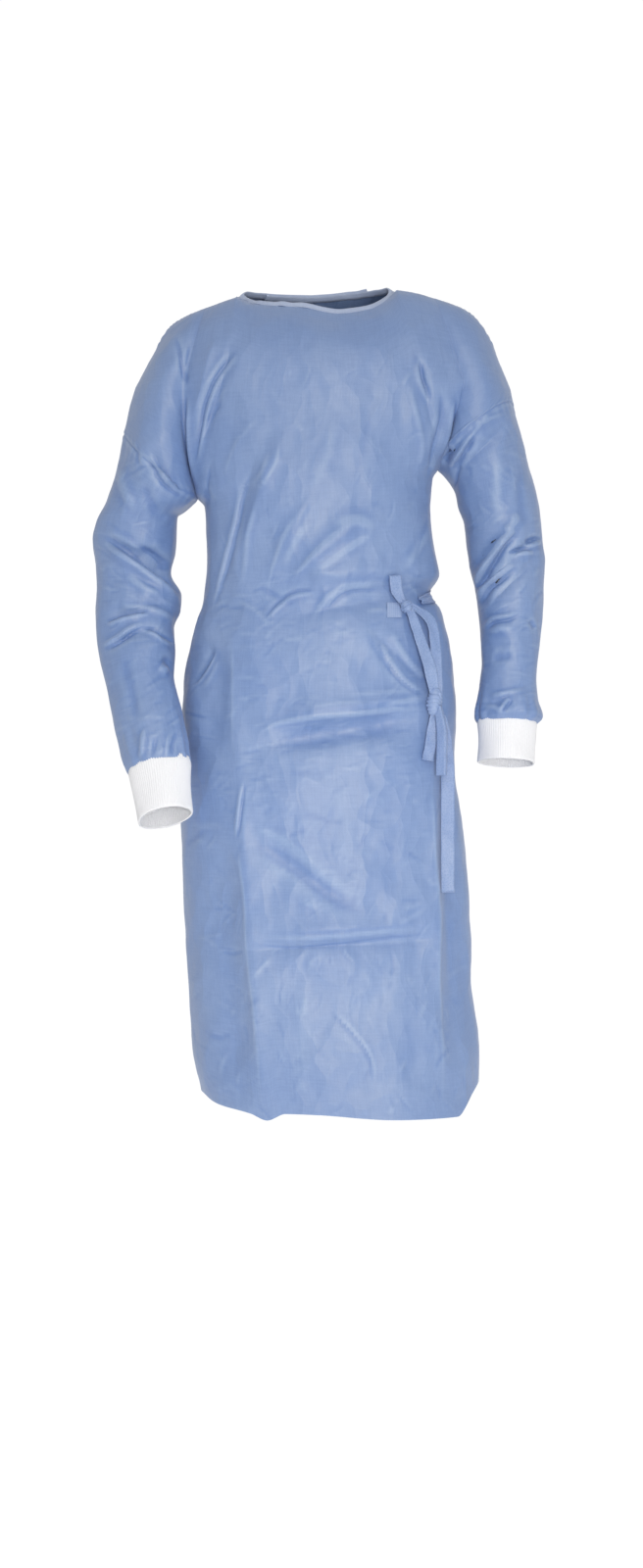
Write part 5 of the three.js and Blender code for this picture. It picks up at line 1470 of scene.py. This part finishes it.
# Relief: flat facets as in crushed paper, a grid of bond points, and fibres.
CRINKLES = ((16, 9, 0.9), (38, 20, 0.5))  # cells across and along, and how high they rise
CRINKLE_RELIEF = (0.8, 0.0065)
CRINKLE_NOISE = dict(scale=14.0, detail=2.0)
CRINKLE_BEND = 0.05
BONDS = dict(voronoi_dimensions="2D", scale=620.0, randomness=0.0)
BOND_STOPS = ((0.16, BLACK), (0.38, WHITE))
BOND_HEIGHT = 0.00012
FIBRES = dict(scale=900.0, detail=2.0, roughness=0.5)
FIBRE_RELIEF = (0.25, 0.00015)


def crinkles(nodes):
    """Flat facets with sharp edges, as in paper that has been crushed and opened again."""
    total = None
    for across, along, height in CRINKLES:
        bent = nodes.after(object_space(nodes), "Object", "Vector", "ShaderNodeTexNoise", **CRINKLE_NOISE)
        shift = nodes.after(bent, "Color", 0, "ShaderNodeVectorMath", operation="SCALE", scale=CRINKLE_BEND)
        moved = nodes.after(object_space(nodes), "Object", 0, "ShaderNodeVectorMath", operation="ADD")
        nodes.join(shift, "Vector", moved, 1)
        scale = (across, along, along)
        stretched = nodes.after(moved, "Vector", "Vector", "ShaderNodeMapping", scale=scale)
        cells = nodes.after(stretched, "Vector", "Vector", "ShaderNodeTexVoronoi", feature="F1", scale=1.0)
        part = nodes.after(cells, "Distance", 0, "ShaderNodeMath", operation="MULTIPLY")
        part.inputs[1].default_value = height
        if total:
            both = nodes.after(total, "Value", 0, "ShaderNodeMath", operation="ADD")
            nodes.join(part, "Value", both, 1)
            part = both
        total = part
    return total


def fibre_colour(nodes, light, dark):
    """Soft mottling, short fibres, and streaks along and across the cloth."""
    space = object_space(nodes)
    cloud = nodes.after(space, "Object", "Vector", "ShaderNodeTexNoise", **CLOUD)
    web = nodes.after(space, "Object", "Vector", "ShaderNodeTexNoise", **WEB)
    tone = nodes.ramp(cloud, "Fac", *zip(CLOUD_STOPS, (dark, light)))
    colour = nodes.multiply(tone, nodes.ramp(web, "Fac", *WEB_STOPS))
    for stretch in STREAKS:
        run = nodes.after(cloth_space(nodes), "UV", "Vector", "ShaderNodeMapping", scale=(*stretch, 1))
        thread = nodes.after(run, "Vector", "Vector", "ShaderNodeTexNoise", **THREADS)
        colour = nodes.multiply(colour, nodes.ramp(thread, "Fac", *STREAK_STOPS))
    return colour


def specked(nodes, colour, scale, randomness, size, spot):
    """A colour with specks or weld dots over it."""
    kind = dict(voronoi_dimensions="2D", scale=scale, randomness=randomness)
    spots = nodes.after(cloth_space(nodes), "UV", "Vector", "ShaderNodeTexVoronoi", **kind)
    return nodes.multiply(colour, nodes.ramp(spots, "Distance", (size, spot), (size + SPECK_EDGE, WHITE)))


def painted_fold_shading(nodes, colour):
    """A colour with painted highlight on the ridges and painted shade in the hollows."""
    height = nodes.add("ShaderNodeAttribute", attribute_name="painted_fold_shading")
    low, high = PAINTED_FOLD_RANGE
    painted_fold_share = nodes.after(height, "Fac", "Value", "ShaderNodeMapRange", from_min=low, from_max=high)
    return nodes.multiply(colour, nodes.ramp(painted_fold_share, "Result", *PAINTED_FOLD_STOPS))


def nonwoven(name, light, dark, roughness=0.5, emboss=0.35, specks=None):
    """Bonded nonwoven: mottled and streaked, with painted highlight on the ridges of its creases and
    painted shade in their hollows, crinkled, and with bond points.
    """
    nodes = Nodes(name)
    colour = fibre_colour(nodes, light, dark)
    if specks:
        colour = specked(nodes, colour, **specks)
    nodes.join(painted_fold_shading(nodes, colour), "Color", nodes.shader, "Base Color")
    crinkled = nodes.bump(crinkles(nodes), "Value", *CRINKLE_RELIEF)
    diagonal = (0, 0, math.radians(45))
    turned = nodes.after(cloth_space(nodes), "UV", "Vector", "ShaderNodeMapping", rotation=diagonal)
    bonds = nodes.after(turned, "Vector", "Vector", "ShaderNodeTexVoronoi", **BONDS)
    bonded = nodes.bump(nodes.ramp(bonds, "Distance", *BOND_STOPS), "Color", emboss, BOND_HEIGHT, crinkled)
    fibres = nodes.after(object_space(nodes), "Object", "Vector", "ShaderNodeTexNoise", **FIBRES)
    relief = nodes.bump(fibres, "Fac", *FIBRE_RELIEF, bonded)
    nodes.join(relief, "Normal", nodes.shader, "Normal")
    nodes.shade(
        {
            "Roughness": roughness,
            "Specular IOR Level": 1.0,
            "Specular Tint": (1.0, 0.86, 0.52, 1),
            "Sheen Weight": 0.12,
            "Sheen Roughness": 0.5,
        }
    )
    return nodes.material


KNIT_LOOPS = dict(wave_type="BANDS", bands_direction="Y", scale=190.0, distortion=1.2, detail=1.0)
# Painted shade: how much darker the low parts between the knit's loops are drawn.
KNIT_SHADE = 0.94
KNIT_RELIEF = (0.5, 0.0002)


def knit_material(name, colour):
    """Ribbed knit: columns of small loops, with painted shade in the low parts between them."""
    nodes = Nodes(name)
    loops = nodes.after(cloth_space(nodes), "UV", "Vector", "ShaderNodeTexWave", **KNIT_LOOPS)
    shaded = tuple(KNIT_SHADE * value for value in colour)
    nodes.join(nodes.ramp(loops, "Fac", (0.0, shaded), (1.0, colour)), "Color", nodes.shader, "Base Color")
    nodes.join(nodes.bump(loops, "Fac", *KNIT_RELIEF), "Normal", nodes.shader, "Normal")
    nodes.shade({"Roughness": 0.9, "Specular IOR Level": 0.2, "Sheen Weight": 0.15})
    return nodes.material


CLOTH_LIGHT = linear(127, 153, 198)
CLOTH_DARK = linear(116, 145, 195)
TAPE_LIGHT = linear(143, 166, 208)
TAPE_DARK = linear(131, 157, 204)
BINDING_LIGHT = linear(180, 193, 220)
BINDING_DARK = linear(168, 183, 214)
KNIT_COLOUR = linear(242, 242, 244)

blue = nonwoven("nonwoven_blue", CLOTH_LIGHT, CLOTH_DARK)
tape = nonwoven("tie_tape", TAPE_LIGHT, TAPE_DARK, 0.55, 0.8, TAPE_SPECKS)
welded = nonwoven("tie_welded", TAPE_LIGHT, TAPE_DARK, 0.55, 0.8, WELD_DOTS)
pale = nonwoven("binding_tape", BINDING_LIGHT, BINDING_DARK, 0.6, 0.3)
white = knit_material("cuff_knit", KNIT_COLOUR)


def finish(piece, material, slot, *nodes):
    piece.data.materials.append(material)
    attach(piece, BODY_NAME)
    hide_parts(*nodes)


finish(cloth_front, blue, "nonwoven", "front")
finish(cloth_back_over, blue, "nonwoven", "back_over")
finish(cloth_back_under, blue, "nonwoven", "back_under")
for side in ("right", "left"):
    finish(cloth_sleeves[side], blue, "nonwoven", f"sleeve_{side}")
    finish(knit_cuffs[side], white, "knit", f"cuff_{side}")
finish(binding_neck, pale, "binding", "neck_binding")
finish(ribbon_belt_side, tape, "nonwoven", "belt_side")
finish(ribbon_patch, welded, "nonwoven", "tie_patch")
for name, piece in {**ribbons, **knots}.items():
    finish(piece, tape, "nonwoven", name)

# The flat cut of what shows of each ribbon: width and length in metres.
RIBBON_CUTS = table(
    "width length",
    (0.019, 0.040), (0.019, 0.123), (0.019, 0.135), (0.019, 0.070), (0.019, 0.094), (0.019, 0.251),
)


# The room: a pale floor, a pale surround that is white behind the gown, and soft lamps.
FLOOR_HALF = 1.7
FLOOR_Z = -1.6
FLOOR_GLOW = 0.5
WORLD_LEVEL = 0.58
WORLD_WHITE = 1.02
WHITE_FROM = (0.80, 0.92)  # how nearly straight back a view goes where the surround turns white
LAMPS = {
    "key": dict(size=0.7, power=3.3, beam=44, place_at=(0.55, -3.65, -0.75), target=(0, 0, -0.68)),
    "fill": dict(size=1.4, power=16, beam=180, place_at=(0.3, -3.0, 1.5), target=(0, 0, -0.2)),
}
CAMERA_DISTANCE = 4.2
CAMERA_X = 0.0027
CAMERA_Z = -0.665
SENSOR = 36
PIXEL = 0.00133  # what one pixel of the picture spans at the gown


def stage():
    corners = [(x * FLOOR_HALF, y * FLOOR_HALF, FLOOR_Z) for x, y in ((-1, -1), (1, -1), (1, 1), (-1, 1))]
    mesh = bpy.data.meshes.new("floor")
    mesh.from_pydata(corners, [], [(0, 1, 2, 3)])
    nodes = Nodes("pale_floor")
    nodes.shade(
        {
            "Base Color": (0.9, 0.9, 0.9, 1),
            "Emission Color": (1, 1, 1, 1),
            "Emission Strength": FLOOR_GLOW,
            "Roughness": 0.9,
            "Specular IOR Level": 0.1,
        }
    )
    mesh.materials.append(nodes.material)
    floor = new_object("floor", mesh)


def surround():
    world = bpy.data.worlds.new("studio")
    bpy.context.scene.world = world
    world.use_nodes = True
    tree = world.node_tree
    direction = tree.nodes.new("ShaderNodeTexCoord")
    split = tree.nodes.new("ShaderNodeSeparateXYZ")
    tree.links.new(direction.outputs["Generated"], split.inputs["Vector"])
    ramp = tree.nodes.new("ShaderNodeMapRange")
    ramp.interpolation_type = "SMOOTHSTEP"
    values = (*WHITE_FROM, WORLD_LEVEL, WORLD_WHITE)
    for socket, value in zip(("From Min", "From Max", "To Min", "To Max"), values):
        ramp.inputs[socket].default_value = value
    tree.links.new(split.outputs["Y"], ramp.inputs["Value"])
    background = tree.nodes["Background"]
    background.inputs["Color"].default_value = (1, 1, 1, 1)
    tree.links.new(ramp.outputs["Result"], background.inputs["Strength"])


def lamp(name, size, power, beam, place_at, target):
    light = bpy.data.lights.new(name, "AREA")
    light.shape = "DISK"
    light.size = size
    light.energy = power
    light.spread = math.radians(beam)
    holder = new_object(name, light)
    holder.location = place_at
    holder.rotation_euler = (Vector(target) - Vector(place_at)).to_track_quat("-Z", "Y").to_euler()


def camera():
    lens = bpy.data.cameras.new("camera")
    lens.sensor_fit = "VERTICAL"
    lens.sensor_height = SENSOR
    lens.lens = SENSOR * CAMERA_DISTANCE / (IMAGE[1] * PIXEL)
    holder = new_object("camera", lens)
    holder.location = (CAMERA_X, -CAMERA_DISTANCE, CAMERA_Z)
    holder.rotation_euler = (math.pi / 2, 0, 0)
    bpy.context.scene.camera = holder


stage()
surround()
for name, row in LAMPS.items():
    lamp(name, **row)
camera()
bpy.context.scene.view_settings.view_transform = "Standard"
